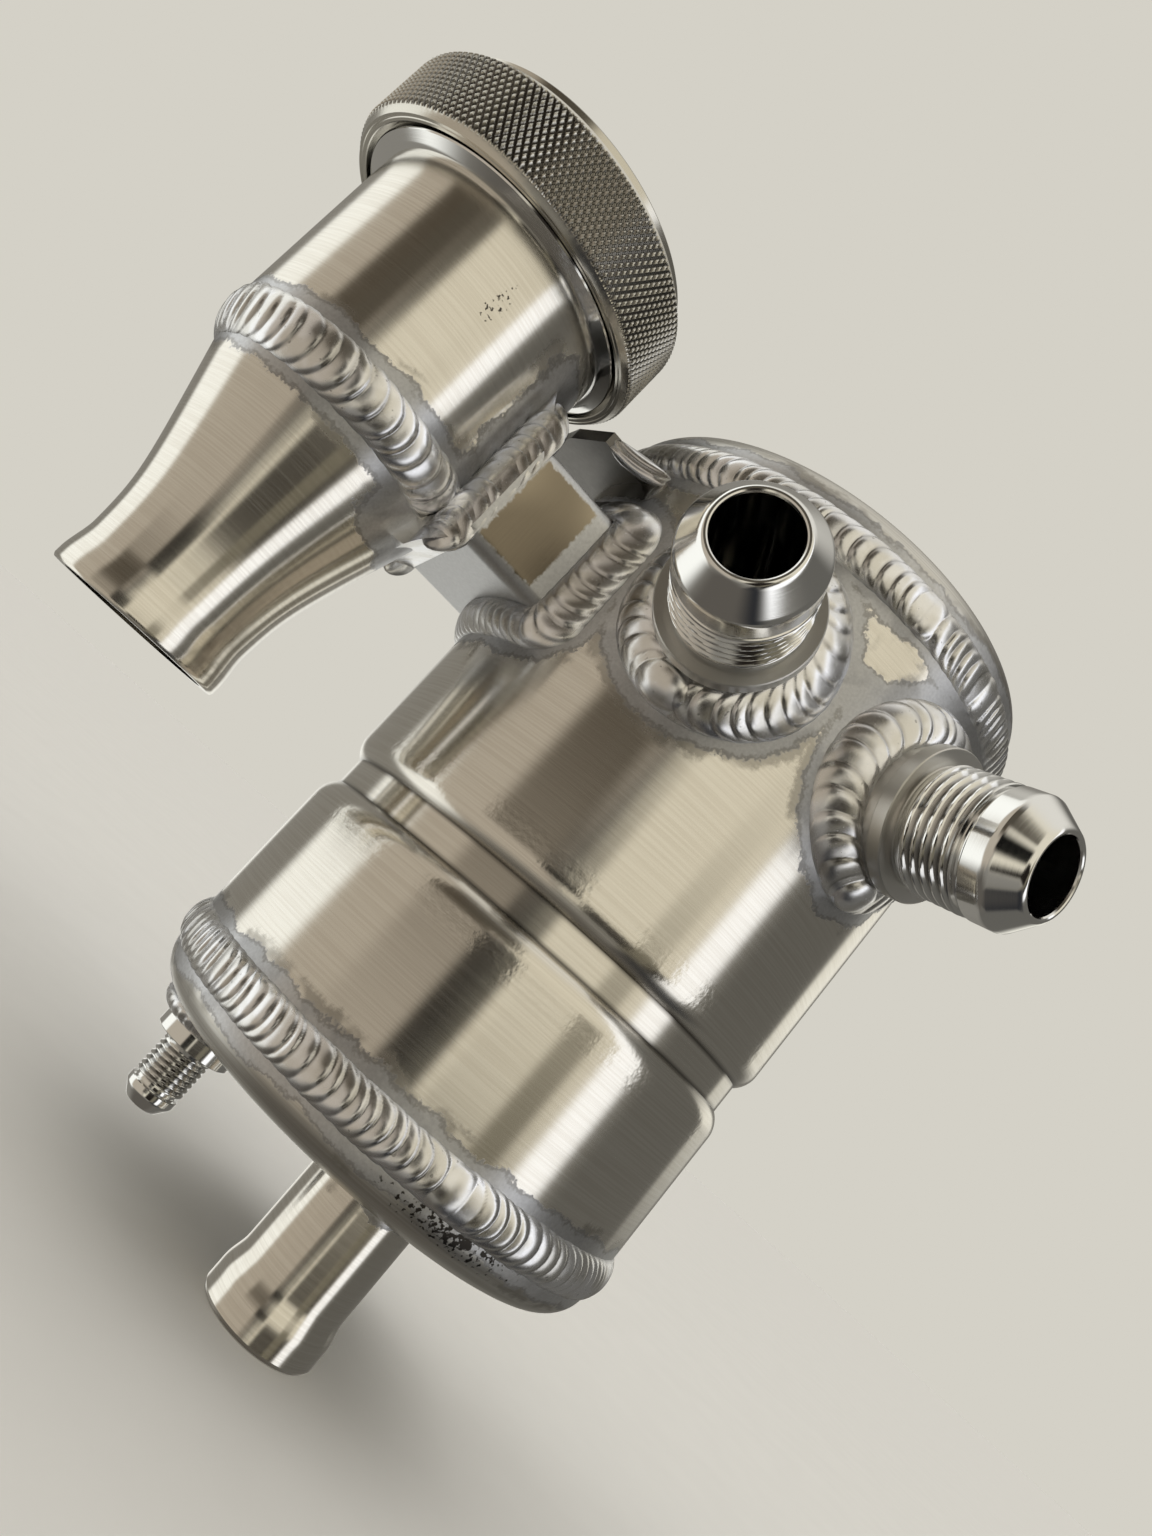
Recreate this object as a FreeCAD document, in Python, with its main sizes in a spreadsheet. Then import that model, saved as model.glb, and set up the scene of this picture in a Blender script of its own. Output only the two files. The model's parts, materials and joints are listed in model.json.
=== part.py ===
import FreeCAD, Part
import math
import os
import Sketcher

# Oil catch can with a remote filler, welded up from bare aluminium tube.
# The can's axis is Z, with z = 0 at the middle of its band groove.
# The filler stands beside it, towards -X, with its axis parallel to the can's.

doc = FreeCAD.newDocument("catch_can")

# Driving dimensions, millimetres and degrees
DIMENSIONS = {
    # Can tube
    "can_radius": 57.15,
    "can_wall": 3.0,
    "lower_joint": -43.5,
    "joint_chamfer": 2.0,
    # Rolled groove for the band clamp
    "groove_floor_half": 3.2,
    "groove_half": 8.1,
    "groove_depth": 2.35,
    # End caps
    "cap_land": 4.0,
    "cap_rounding": 8.5,
    # Ring welds at the joints
    "ring_weld_half": 4.6,
    "ring_weld_crown": 1.9,
    # Large male flare fittings
    "front_arc": 58.45,
    "front_height": 64.9,
    "side_arc": 109.62,
    "side_drop": 2.1,
    "port_bore": 7.65,
    "port_hole": 10.5,
    "port_root_radius": 14.6,
    "port_flange_radius": 15.8,
    "port_root_length": 6.05,
    "port_flange_thickness": 3.1,
    "port_relief_radius": 12.1,
    "port_relief_length": 2.1,
    "port_thread_radius": 13.2,
    "port_thread_length": 11.2,
    "port_undercut_length": 1.4,
    "port_land_length": 4.9,
    "port_nose_length": 5.8,
    "port_lip_radius": 8.7,
    "port_weld_outer": 21.4,
    "port_weld_height": 5.2,
    "port_weld_round": 4.6,
    "port_weld_clear": 1.6,
    # Filler vessel
    "vessel_gap": 18.05,
    "filler_radius": 30.2,
    "filler_wall": 3.0,
    "tube_rise": 1.1,
    "tube_length": 45.0,
    "cone_length": 57.1,
    "cone_end_radius": 18.2,
    "cone_straight": 20.0,
    "cone_foot_bend": 30.0,
    "cone_mouth_step": 1.2,
    "cone_mouth_drop": 1.2,
    "cone_lip_rise": 0.9,
    "cone_lip_from": 3.0,
    "cone_lip_to": 6.5,
    "cone_wall": 2.5,
    # Neck ring, seal and screw cap
    "neck_wall": 2.7,
    "neck_sleeve_depth": 8.0,
    "neck_collar_rise": 3.8,
    "neck_collar_height": 3.4,
    "neck_thread_rise": 1.0,
    "neck_length": 14.4,
    "seal_thickness": 2.0,
    "seal_width": 4.6,
    "thread_clearance": 0.35,
    "skirt_rise": 1.3,
    "skirt_relief_gap": 1.5,
    "skirt_relief_depth": 3.4,
    "knob_rise": 8.2,
    "knob_bevel": 1.5,
    "knob_foot_height": 1.8,
    "knurl_height": 14.7,
    "knob_bevel_height": 1.6,
    "knob_disc_step": 3.4,
    "knob_disc_height": 3.0,
    # Link block between the two vessels
    "block_half_depth": 25.4,
    "block_height": 25.6,
    "block_drop": 21.5,
    "block_rounding": 1.8,
    "block_weld_leg": 7.0,
    "block_weld_height": 4.6,
    "block_weld_round": 4.0,
    "bead_lap": 1.6,
    "bead_toe_north": 17.9,
    "bead_bend": 9.0,
    "bead_fall": 7.9,
    "bead_climb": 13.4,
    "bead_end_reach": 6.2,
    "bead_end_bend": 22.0,
    # Hose spigot under the can
    "spigot_east": 3.1,
    "spigot_south": 16.4,
    "spigot_radius": 12.7,
    "spigot_wall": 2.0,
    "spigot_end": -92.5,
    "spigot_bead_radius": 13.7,
    "spigot_bead_length": 7.0,
    "spigot_stub": 2.0,
    "small_weld_leg": 4.6,
    "drain_weld_leg": 3.2,
    "small_weld_fill": 0.7,
    # Small flare fitting under the can
    "drain_inset": 16.55,
    "drain_south": 1.1,
    "drain_bore": 2.2,
    "drain_base_radius": 8.6,
    "drain_base_height": 6.4,
    "drain_thread_radius": 5.56,
    "drain_relief_radius": 4.7,
    "drain_relief_height": 1.2,
    "drain_thread_length": 8.0,
    "drain_nose_radius": 3.6,
    "drain_nose_slope": 1.33,
    "drain_length": 21.0,
    # Perforated baffle that rests on the inner ridge of the groove
    "baffle_thickness": 2.0,
    "baffle_clearance": 0.3,
    "baffle_hole": 4.0,
    "baffle_pitch": 14.4,
    # Mounting tab at the rear
    "tab_thickness": 3.0,
    "tab_front_south": 15.0,
    "tab_front_reach": 9.35,
    "tab_reach": 13.85,
    "tab_reach_south": 3.0,
    "tab_eye_reach": 4.85,
    "tab_eye_north": 36.0,
    "tab_eye_radius": 12.0,
    "tab_hole": 4.25,
    "tab_weld_leg": 6.5,
    "tab_weld_bend": 9.0,
}


class Size:
    """A size with its value and the sheet expression that drives it."""

    def __init__(self, value, text):
        self.value = float(value)
        self.text = text

    def __add__(self, other):
        other = as_size(other)
        return Size(self.value + other.value, f"({self.text} + {other.text})")

    def __sub__(self, other):
        other = as_size(other)
        return Size(self.value - other.value, f"({self.text} - {other.text})")

    def __mul__(self, other):
        other = as_size(other)
        return Size(self.value * other.value, f"({self.text} * {other.text})")

    def __truediv__(self, other):
        other = as_size(other)
        return Size(self.value / other.value, f"({self.text} / {other.text})")

    def __neg__(self):
        return Size(-self.value, f"(0 - {self.text})")


def as_size(number):
    """A plain number as a Size."""
    return number if isinstance(number, Size) else Size(number, repr(float(number)))


def root(size):
    """Square root of a Size."""
    return Size(math.sqrt(size.value), f"sqrt({size.text})")


class Dimensions:
    """The sheet's cells, read by their aliases."""

    def __init__(self, document, values):
        sheet = document.addObject("Spreadsheet::Sheet", "Sizes")
        for row, (alias, value) in enumerate(values.items(), 1):
            sheet.set(f"A{row}", alias)
            sheet.set(f"B{row}", str(value))
            sheet.setAlias(f"B{row}", alias)
            setattr(self, alias, Size(value, f"Sizes.{alias}"))


d = Dimensions(doc, DIMENSIONS)
doc.recompute()

# Sizes that follow from the driving ones
side_height = d.front_height - d.side_drop
upper_joint = d.front_height + d.port_weld_outer + d.port_weld_clear + d.ring_weld_half
front_azimuth = as_size(180.0) + d.front_arc / d.can_radius * math.degrees(1.0)
side_azimuth = as_size(180.0) + d.side_arc / d.can_radius * math.degrees(1.0)
can_inner = d.can_radius - d.can_wall
groove_floor = d.can_radius - d.groove_depth
shoulder_run = d.groove_half - d.groove_floor_half
shoulder_bend = (shoulder_run * shoulder_run + d.groove_depth * d.groove_depth) / (d.groove_depth * 2)
ridge_bend = shoulder_bend - d.can_wall
ridge_inner = groove_floor - d.can_wall
ridge_fall = ridge_bend - d.groove_depth
ridge_half = d.groove_half - root(ridge_bend * ridge_bend - ridge_fall * ridge_fall)
can_bottom = d.lower_joint - d.cap_land - d.cap_rounding
crown_square = d.ring_weld_half * d.ring_weld_half + d.ring_weld_crown * d.ring_weld_crown
crown_bend = crown_square / (d.ring_weld_crown * 2)
port_flange_from = d.can_radius + d.port_root_length
port_flange_to = port_flange_from + d.port_flange_thickness
port_thread_from = port_flange_to + d.port_relief_length
port_thread_to = port_thread_from + d.port_thread_length
port_undercut_to = port_thread_to + d.port_undercut_length
port_nose_from = port_undercut_to + d.port_land_length
port_tip = port_nose_from + d.port_nose_length
filler_face = d.can_radius + d.vessel_gap
filler_offset = filler_face + d.filler_radius
filler_bore = d.filler_radius - d.filler_wall
tube_top = upper_joint + d.tube_rise
cone_joint = tube_top - d.tube_length
cone_end = cone_joint - d.cone_length
cone_foot = cone_end + d.cone_straight
cone_mouth_radius = d.filler_radius - d.cone_mouth_step
cone_slope = (cone_mouth_radius - d.cone_end_radius) / (cone_joint - d.cone_mouth_drop - cone_foot)
cone_toe = cone_joint - d.ring_weld_half
cone_toe_radius = d.cone_end_radius + cone_slope * (cone_toe - cone_foot)
neck_bore = filler_bore - d.neck_wall
neck_collar_radius = d.filler_radius + d.neck_collar_rise
neck_thread_radius = d.filler_radius + d.neck_thread_rise
neck_top = tube_top + d.neck_length
seal_outer = neck_bore + d.seal_width
cap_roof = neck_top + d.seal_thickness
skirt_bottom = tube_top + d.skirt_rise
skirt_relief_radius = neck_collar_radius + d.skirt_relief_gap
knob_radius = d.filler_radius + d.knob_rise
knob_bevel_radius = knob_radius - d.knob_bevel
knob_disc_radius = knob_radius - d.knob_disc_step
knurl_bottom = skirt_bottom + d.knob_foot_height
knurl_top = knurl_bottom + d.knurl_height
knob_shoulder = knurl_top + d.knob_bevel_height
knob_top = knob_shoulder + d.knob_disc_height
block_top = upper_joint - d.block_drop
block_bottom = block_top - d.block_height
bead_low = block_bottom - d.bead_fall
bead_high = block_top + d.bead_climb
bead_end_west = filler_face + d.bead_end_reach
drain_west = d.can_radius - d.drain_inset
tab_top = upper_joint - d.ring_weld_half
tab_bottom = tab_top - d.tab_thickness
tab_front_west = d.can_radius + d.tab_front_reach
tab_west = d.can_radius + d.tab_reach
tab_eye_west = d.can_radius + d.tab_eye_reach


def new_body(name):
    """An empty body for one piece, labelled with its node's name."""
    body = doc.addObject("PartDesign::Body", name)
    body.Label = name
    return body


def new_sketch(body, plane, name):
    """A sketch on one of the body's own origin planes."""
    sketch = body.newObject("Sketcher::SketchObject", name)
    found = [item for item in body.Origin.OriginFeatures if item.Role == plane]
    sketch.AttachmentSupport = [(found[0], "")]
    sketch.MapMode = "FlatFace"
    return sketch


def drive(sketch, number, size):
    """Binds a sketch constraint to its size."""
    sketch.setExpression(f"Constraints[{number}]", size.text)


def hold_point(sketch, shape, end, across, up):
    """Fixes a point of a sketch at the coordinates (across, up)."""
    for kind, size, axis in (("DistanceX", as_size(across), -2), ("DistanceY", as_size(up), -1)):
        if size.value == 0.0:
            sketch.addConstraint(Sketcher.Constraint("PointOnObject", shape, end, axis))
        else:
            rule = Sketcher.Constraint(kind, -1, 1, shape, end, size.value)
            drive(sketch, sketch.addConstraint(rule), size)


def arc_between(start, finish, radius, leftwards):
    """The short arc from start to finish, with its centre to the left or right of the way."""
    chord = finish - start
    reach = math.sqrt(max(radius * radius - chord.Length * chord.Length / 4, 0.0))
    side = FreeCAD.Vector(-chord.y, chord.x, 0).normalize()
    centre = (start + finish) * 0.5 + side * (reach if leftwards else -reach)
    first, last = (start, finish) if leftwards else (finish, start)
    turn = [math.atan2(point.y - centre.y, point.x - centre.x) for point in (first, last)]
    circle = Part.Circle(centre, FreeCAD.Vector(0, 0, 1), radius)
    return Part.ArcOfCircle(circle, turn[0], turn[1] if turn[1] > turn[0] else turn[1] + 2 * math.pi)


def draw_outline(sketch, corners):
    """Draws a closed outline through its corners.

    A corner is (across, up), or (across, up, bend, side) where an arc of radius bend leads on from it
    to the next corner, with its centre on the side "left" or "right" of the way.
    """
    ends = []
    first = sketch.GeometryCount
    for index, corner in enumerate(corners):
        after = corners[(index + 1) % len(corners)]
        start = FreeCAD.Vector(as_size(corner[0]).value, as_size(corner[1]).value, 0)
        finish = FreeCAD.Vector(as_size(after[0]).value, as_size(after[1]).value, 0)
        if len(corner) == 2:
            sketch.addGeometry(Part.LineSegment(start, finish), False)
            ends.append((1, 2))
        else:
            leftwards = corner[3] == "left"
            shape = sketch.addGeometry(arc_between(start, finish, corner[2].value, leftwards), False)
            ends.append((1, 2) if leftwards else (2, 1))
            drive(sketch, sketch.addConstraint(Sketcher.Constraint("Radius", shape, corner[2].value)), corner[2])
    for index, corner in enumerate(corners):
        before = (index - 1) % len(corners)
        joined = (first + before, ends[before][1], first + index, ends[index][0])
        sketch.addConstraint(Sketcher.Constraint("Coincident", *joined))
        hold_point(sketch, first + index, ends[index][0], corner[0], corner[1])


def draw_circle(sketch, across, up, radius):
    """Draws a circle at (across, up)."""
    centre = FreeCAD.Vector(as_size(across).value, as_size(up).value, 0)
    shape = sketch.addGeometry(Part.Circle(centre, FreeCAD.Vector(0, 0, 1), radius.value), False)
    hold_point(sketch, shape, 3, across, up)
    drive(sketch, sketch.addConstraint(Sketcher.Constraint("Radius", shape, radius.value)), radius)


def turn_profile(body, corners, axis="V_Axis", angle=360.0, kind="Revolution"):
    """Turns a profile drawn in the XZ plane about one of the sketch's axes."""
    number = len(body.Group)
    sketch = new_sketch(body, "XZ_Plane", f"{body.Name}_profile_{number}")
    draw_outline(sketch, corners)
    feature = body.newObject(f"PartDesign::{kind}", f"{body.Name}_turned_{number}")
    feature.Profile = sketch
    feature.ReferenceAxis = (sketch, [axis])
    feature.Angle = angle
    doc.recompute()
    return feature


def pad_sketch(body, sketch, length, midplane=False, reverse=False):
    """Pads a sketch by a length."""
    feature = body.newObject("PartDesign::Pad", f"{sketch.Name}_pad")
    feature.Profile = sketch
    feature.setExpression("Length", as_size(length).text)
    feature.Midplane = midplane
    feature.Reversed = reverse
    doc.recompute()
    return feature


def cut_through(body, sketch):
    """Cuts a sketch through the whole body, both ways."""
    before = body.Shape.Volume
    feature = body.newObject("PartDesign::Pocket", f"{sketch.Name}_cut")
    feature.Profile = sketch
    feature.Type = "ThroughAll"
    feature.Midplane = True
    doc.recompute()
    if body.Shape.Volume >= before - 1e-6:
        raise RuntimeError(f"{sketch.Name} cuts nothing")
    return feature


def cut_length(body, sketch, length, reverse=False):
    """Cuts a sketch to a length."""
    before = body.Shape.Volume
    feature = body.newObject("PartDesign::Pocket", f"{sketch.Name}_cut")
    feature.Profile = sketch
    feature.Reversed = reverse
    feature.setExpression("Length", length.text)
    doc.recompute()
    if body.Shape.Volume >= before - 1e-6:
        raise RuntimeError(f"{sketch.Name} cuts nothing")
    return feature


def cut_circles(body, plane, circles, name):
    """Cuts round holes, given as (across, up, radius), through the whole body."""
    sketch = new_sketch(body, plane, f"{body.Name}_{name}")
    for across, up, radius in circles:
        draw_circle(sketch, across, up, radius)
    return cut_through(body, sketch)


def cut_outside(body, across, up, radius, reach):
    """Leaves only what lies within a radius of a vertical axis at (across, up)."""
    sketch = new_sketch(body, "XY_Plane", f"{body.Name}_outer")
    draw_circle(sketch, across, up, radius)
    draw_circle(sketch, across, up, reach)
    return cut_through(body, sketch)


def round_edges(body, names, radius):
    """Rounds the named edges of the body's last feature."""
    base = body.Tip
    feature = body.newObject("PartDesign::Fillet", f"{body.Name}_round_{len(body.Group)}")
    feature.Base = (base, names)
    feature.setExpression("Radius", radius.text)
    doc.recompute()
    return feature


def rims(body, *wanted):
    """Names of the body's round edges whose (radius, height) is among those wanted."""
    names = []
    for number, edge in enumerate(body.Tip.Shape.Edges, 1):
        if isinstance(edge.Curve, Part.Circle):
            here = (edge.Curve.Radius, edge.Curve.Center.z)
            if any(abs(here[0] - r.value) < 0.01 and abs(here[1] - z.value) < 0.01 for r, z in wanted):
                names.append(f"Edge{number}")
    return names


def crest_edges(body, axis_across, height_radius, keep):
    """Names of the edges that lie on a cylinder about a vertical axis and pass the test keep."""
    names = []
    for number, edge in enumerate(body.Tip.Shape.Edges, 1):
        ends = edge.ParameterRange
        points = [edge.valueAt(ends[0] + (ends[1] - ends[0]) * share) for share in (0.1, 0.5, 0.9)]
        reach = [math.hypot(point.x - axis_across.value, point.y) for point in points]
        if all(abs(size - height_radius.value) < 0.01 for size in reach) and all(keep(p) for p in points):
            names.append(f"Edge{number}")
    return names


def place(body, east, north, up=None, azimuth=None):
    """Moves a body, and turns it about its vertical axis."""
    if azimuth is not None:
        turn = FreeCAD.Rotation(FreeCAD.Vector(0, 0, 1), azimuth.value)
        body.Placement = FreeCAD.Placement(FreeCAD.Vector(0, 0, 0), turn)
    body.setExpression("Placement.Base.x", as_size(east).text)
    body.setExpression("Placement.Base.y", as_size(north).text)
    body.setExpression("Placement.Base.z", as_size(up or 0).text)


# Can tube, with its ends bevelled for the welds and the groove rolled in
def make_can_body():
    body = new_body("can_body")
    bevel = d.joint_chamfer
    turn_profile(body, [
        (can_inner, d.lower_joint),
        (d.can_radius - bevel, d.lower_joint),
        (d.can_radius, d.lower_joint + bevel),
        (d.can_radius, -d.groove_half, shoulder_bend, "left"),
        (groove_floor, -d.groove_floor_half),
        (groove_floor, d.groove_floor_half, shoulder_bend, "left"),
        (d.can_radius, d.groove_half),
        (d.can_radius, upper_joint - bevel),
        (d.can_radius - bevel, upper_joint),
        (can_inner, upper_joint),
        (can_inner, d.groove_half, ridge_bend, "right"),
        (ridge_inner, ridge_half),
        (ridge_inner, -ridge_half, ridge_bend, "right"),
        (can_inner, -d.groove_half),
    ])
    for name, azimuth, height in (
        ("front", front_azimuth, d.front_height),
        ("side", side_azimuth, side_height),
    ):
        sketch = new_sketch(body, "YZ_Plane", f"can_body_{name}_hole")
        turn = FreeCAD.Rotation(FreeCAD.Vector(0, 0, 1), azimuth.value)
        sketch.AttachmentOffset = FreeCAD.Placement(FreeCAD.Vector(0, 0, 0), turned_plane(turn))
        draw_circle(sketch, 0.0, height, d.port_hole)
        cut_length(body, sketch, d.can_radius * 2, reverse=True)
    return body


def turned_plane(turn):
    """The rotation, in the YZ plane's own axes, that turns it about the vertical axis."""
    return FreeCAD.Rotation(FreeCAD.Vector(0, 1, 0), math.degrees(turn.Angle) * turn.Axis.z)


# End caps: a land the size of the tube, a large rounded edge and a flat face
def cap_corners(joint, way):
    bevel = d.joint_chamfer
    inner_bend = d.cap_rounding - d.can_wall
    land = joint + d.cap_land * way
    face = land + d.cap_rounding * way
    side = "left" if way > 0 else "right"
    return [
        (can_inner, joint),
        (d.can_radius - bevel, joint),
        (d.can_radius, joint + bevel * way),
        (d.can_radius, land, d.cap_rounding, side),
        (d.can_radius - d.cap_rounding, face),
        (0.0, face),
        (0.0, face - d.can_wall * way),
        (can_inner - inner_bend, face - d.can_wall * way, inner_bend, "right" if way > 0 else "left"),
        (can_inner, land),
    ]


def make_top_cap():
    body = new_body("top_cap")
    turn_profile(body, cap_corners(upper_joint, 1))
    return body


def make_bottom_cap():
    body = new_body("bottom_cap")
    turn_profile(body, cap_corners(d.lower_joint, -1))
    cut_circles(body, "XY_Plane", [
        (d.spigot_east, -d.spigot_south, d.spigot_radius),
        (-drain_west, -d.drain_south, d.drain_relief_radius),
    ], "holes")
    return body


# Ring weld: it fills the bevels of a joint and crowns above the tube
def make_ring_weld(name, joint):
    body = new_body(name)
    turn_profile(body, [
        (d.can_radius, joint + d.ring_weld_half),
        (d.can_radius, joint + d.joint_chamfer),
        (d.can_radius - d.joint_chamfer, joint),
        (d.can_radius, joint - d.joint_chamfer),
        (d.can_radius, joint - d.ring_weld_half, crown_bend, "left"),
    ])
    return body


# Male flare fitting, coped to the can, with its axis along X before it is turned into place
def make_port(name, azimuth, height):
    body = new_body(name)
    turn_profile(body, [
        (can_inner, d.port_bore),
        (can_inner, d.port_root_radius),
        (port_flange_from, d.port_root_radius),
        (port_flange_from, d.port_flange_radius),
        (port_flange_to, d.port_flange_radius),
        (port_flange_to, d.port_relief_radius),
        (port_thread_from, d.port_relief_radius),
        (port_thread_from, d.port_thread_radius),
        (port_thread_to, d.port_thread_radius),
        (port_thread_to, d.port_relief_radius),
        (port_undercut_to, d.port_relief_radius),
        (port_undercut_to, d.port_thread_radius),
        (port_nose_from, d.port_thread_radius),
        (port_tip, d.port_lip_radius),
        (port_tip, d.port_bore),
    ], axis="H_Axis")
    cut_circles(body, "XY_Plane", [(0.0, 0.0, d.can_radius)], "cope")
    place(body, 0.0, 0.0, height, azimuth)
    return body


# Fillet weld that follows the saddle line round a fitting
def make_port_weld(name, azimuth, height):
    body = new_body(name)
    sketch = new_sketch(body, "YZ_Plane", f"{name}_ring")
    draw_circle(sketch, 0.0, 0.0, d.port_weld_outer)
    draw_circle(sketch, 0.0, 0.0, d.port_root_radius)
    pad_sketch(body, sketch, port_tip)
    crest = d.can_radius + d.port_weld_height
    cut_circles(body, "XY_Plane", [(0.0, 0.0, d.can_radius)], "seat")
    cut_outside(body, 0.0, 0.0, crest, port_tip * 2)
    middle = (d.port_root_radius.value + d.port_weld_outer.value) / 2
    rim = crest_edges(body, as_size(0.0), crest, lambda point: math.hypot(point.y, point.z) > middle)
    round_edges(body, rim, d.port_weld_round)
    place(body, 0.0, 0.0, height, azimuth)
    return body


# Link block: a flat bar, coped to the can at one end and square against the filler at the other
def make_link_block():
    body = new_body("link_block")
    sketch = new_sketch(body, "YZ_Plane", "link_block_section")
    draw_rounded_bar(sketch, as_size(0.0))
    pad_sketch(body, sketch, filler_face, reverse=True)
    cut_circles(body, "XY_Plane", [(0.0, 0.0, d.can_radius)], "can_cope")
    cut_filler_form(body)
    return body


def cone_weld_crown():
    """Corners of the cone weld's outer face, from its toe on the cone to its toe on the tube."""
    return [(cone_toe_radius, cone_toe, crown_bend, "left"), (d.filler_radius, cone_joint + d.ring_weld_half)]


def cut_filler_form(body):
    """Cuts away the filler's cone, cone weld and tube, so that the body seats on them."""
    before = body.Shape.Volume
    sketch = new_sketch(body, "XZ_Plane", f"{body.Name}_filler_form")
    sketch.setExpression("AttachmentOffset.Base.x", (-filler_offset).text)
    draw_outline(sketch, [(0.0, cone_foot), (d.cone_end_radius, cone_foot)] + cone_weld_crown() + [
        (d.filler_radius, tube_top),
        (0.0, tube_top),
    ])
    feature = body.newObject("PartDesign::Groove", f"{body.Name}_filler_cope")
    feature.Profile = sketch
    feature.ReferenceAxis = (sketch, ["V_Axis"])
    feature.Angle = 360.0
    doc.recompute()
    if body.Shape.Volume >= before - 1e-6:
        raise RuntimeError(f"{body.Name} is not coped to the filler")


def draw_rounded_bar(sketch, grow):
    """The block's section, grown all round."""
    half = d.block_half_depth + grow
    low = block_bottom - grow
    high = block_top + grow
    bend = d.block_rounding + grow
    draw_outline(sketch, [
        (half - bend, low, bend, "left"),
        (half, low + bend),
        (half, high - bend, bend, "left"),
        (half - bend, high),
        (bend - half, high, bend, "left"),
        (-half, high - bend),
        (-half, low + bend, bend, "left"),
        (bend - half, low),
    ])


# Fillet weld that runs round the block on the can
def make_link_weld_can():
    body = new_body("link_weld_can")
    sketch = new_sketch(body, "YZ_Plane", "link_weld_can_ring")
    draw_rounded_bar(sketch, d.block_weld_leg)
    draw_rounded_bar(sketch, as_size(0.0))
    pad_sketch(body, sketch, filler_face, reverse=True)
    crest = d.can_radius + d.block_weld_height
    cut_outside(body, 0.0, 0.0, crest, filler_offset * 3)
    middle = (block_bottom.value + block_top.value) / 2
    half_height = (block_top.value - block_bottom.value) / 2
    limit = d.block_weld_leg.value / 2

    def on_outer_edge(point):
        beside = abs(point.y) - d.block_half_depth.value
        above = abs(point.z - middle) - half_height
        return math.hypot(max(beside, 0.0), max(above, 0.0)) > limit

    round_edges(body, crest_edges(body, as_size(0.0), crest, on_outer_edge), d.block_weld_round)
    cut_circles(body, "XY_Plane", [(0.0, 0.0, d.can_radius)], "seat")
    return body


# Weld that fills the gap between the block's square end and the round filler
def make_link_weld_filler():
    body = new_body("link_weld_filler")
    toe = -filler_offset + root(d.filler_radius * d.filler_radius - d.bead_toe_north * d.bead_toe_north)
    lap = d.bead_lap - filler_face
    sketch = new_sketch(body, "XY_Plane", "link_weld_filler_fill")
    draw_outline(sketch, [
        (lap, -d.block_half_depth, d.bead_bend, "right"),
        (toe, -d.bead_toe_north),
        (-filler_offset, 0.0),
        (toe, d.bead_toe_north, d.bead_bend, "right"),
        (lap, d.block_half_depth),
    ])
    pad_sketch(body, sketch, bead_high)
    block = new_sketch(body, "YZ_Plane", "link_weld_filler_block")
    draw_rounded_bar(block, as_size(0.0))
    cut_length(body, block, filler_face)
    ends = new_sketch(body, "XZ_Plane", "link_weld_filler_ends")
    draw_outline(ends, [
        (0.0, -d.bead_lap),
        (0.0, block_bottom),
        (lap, block_bottom, d.bead_end_bend, "left"),
        (-bead_end_west, bead_low),
        (-filler_offset, bead_low),
        (-filler_offset, -d.bead_lap),
    ])
    draw_outline(ends, [
        (0.0, block_top),
        (0.0, bead_high + d.bead_lap),
        (-bead_end_west, bead_high + d.bead_lap),
        (-bead_end_west, bead_high, d.bead_end_bend, "left"),
        (lap, block_top),
    ])
    cut_through(body, ends)
    cut_filler_form(body)
    return body


# Filler vessel
def make_filler_tube():
    body = new_body("filler_tube")
    bevel = d.joint_chamfer
    turn_profile(body, [
        (filler_bore, cone_joint),
        (d.filler_radius - bevel, cone_joint),
        (d.filler_radius, cone_joint + bevel),
        (d.filler_radius, tube_top),
        (filler_bore, tube_top),
    ])
    place(body, -filler_offset, 0.0)
    return body


def make_filler_cone():
    body = new_body("filler_cone")
    bevel = d.joint_chamfer
    bore = d.cone_end_radius - d.cone_wall
    lip = d.cone_end_radius + d.cone_lip_rise
    turn_profile(body, [
        (cone_mouth_radius - d.cone_wall, cone_joint),
        (cone_mouth_radius - d.cone_wall, cone_joint - d.cone_mouth_drop),
        (bore, cone_foot),
        (bore, cone_end + d.cone_lip_to),
        (bore + d.cone_lip_rise, cone_end + d.cone_lip_from),
        (bore + d.cone_lip_rise, cone_end),
        (lip, cone_end),
        (lip, cone_end + d.cone_lip_from),
        (d.cone_end_radius, cone_end + d.cone_lip_to),
        (d.cone_end_radius, cone_foot),
        (cone_mouth_radius, cone_joint - d.cone_mouth_drop),
        (d.filler_radius - bevel, cone_joint),
    ])
    foot = rims(body, (d.cone_end_radius, cone_foot), (bore, cone_foot))
    round_edges(body, foot, d.cone_foot_bend)
    place(body, -filler_offset, 0.0)
    return body


def make_filler_cone_weld():
    body = new_body("filler_cone_weld")
    turn_profile(body, cone_weld_crown() + [
        (d.filler_radius, cone_joint + d.joint_chamfer),
        (d.filler_radius - d.joint_chamfer, cone_joint),
        (cone_mouth_radius, cone_joint - d.cone_mouth_drop),
    ])
    place(body, -filler_offset, 0.0)
    return body


# Turned neck: a sleeve in the tube, a collar on its end and a threaded barrel
def make_filler_neck():
    body = new_body("filler_neck")
    collar_top = tube_top + d.neck_collar_height
    turn_profile(body, [
        (neck_bore, tube_top - d.neck_sleeve_depth),
        (filler_bore, tube_top - d.neck_sleeve_depth),
        (filler_bore, tube_top),
        (neck_collar_radius, tube_top),
        (neck_collar_radius, collar_top),
        (neck_thread_radius, collar_top),
        (neck_thread_radius, neck_top),
        (neck_bore, neck_top),
    ])
    place(body, -filler_offset, 0.0)
    return body


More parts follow.
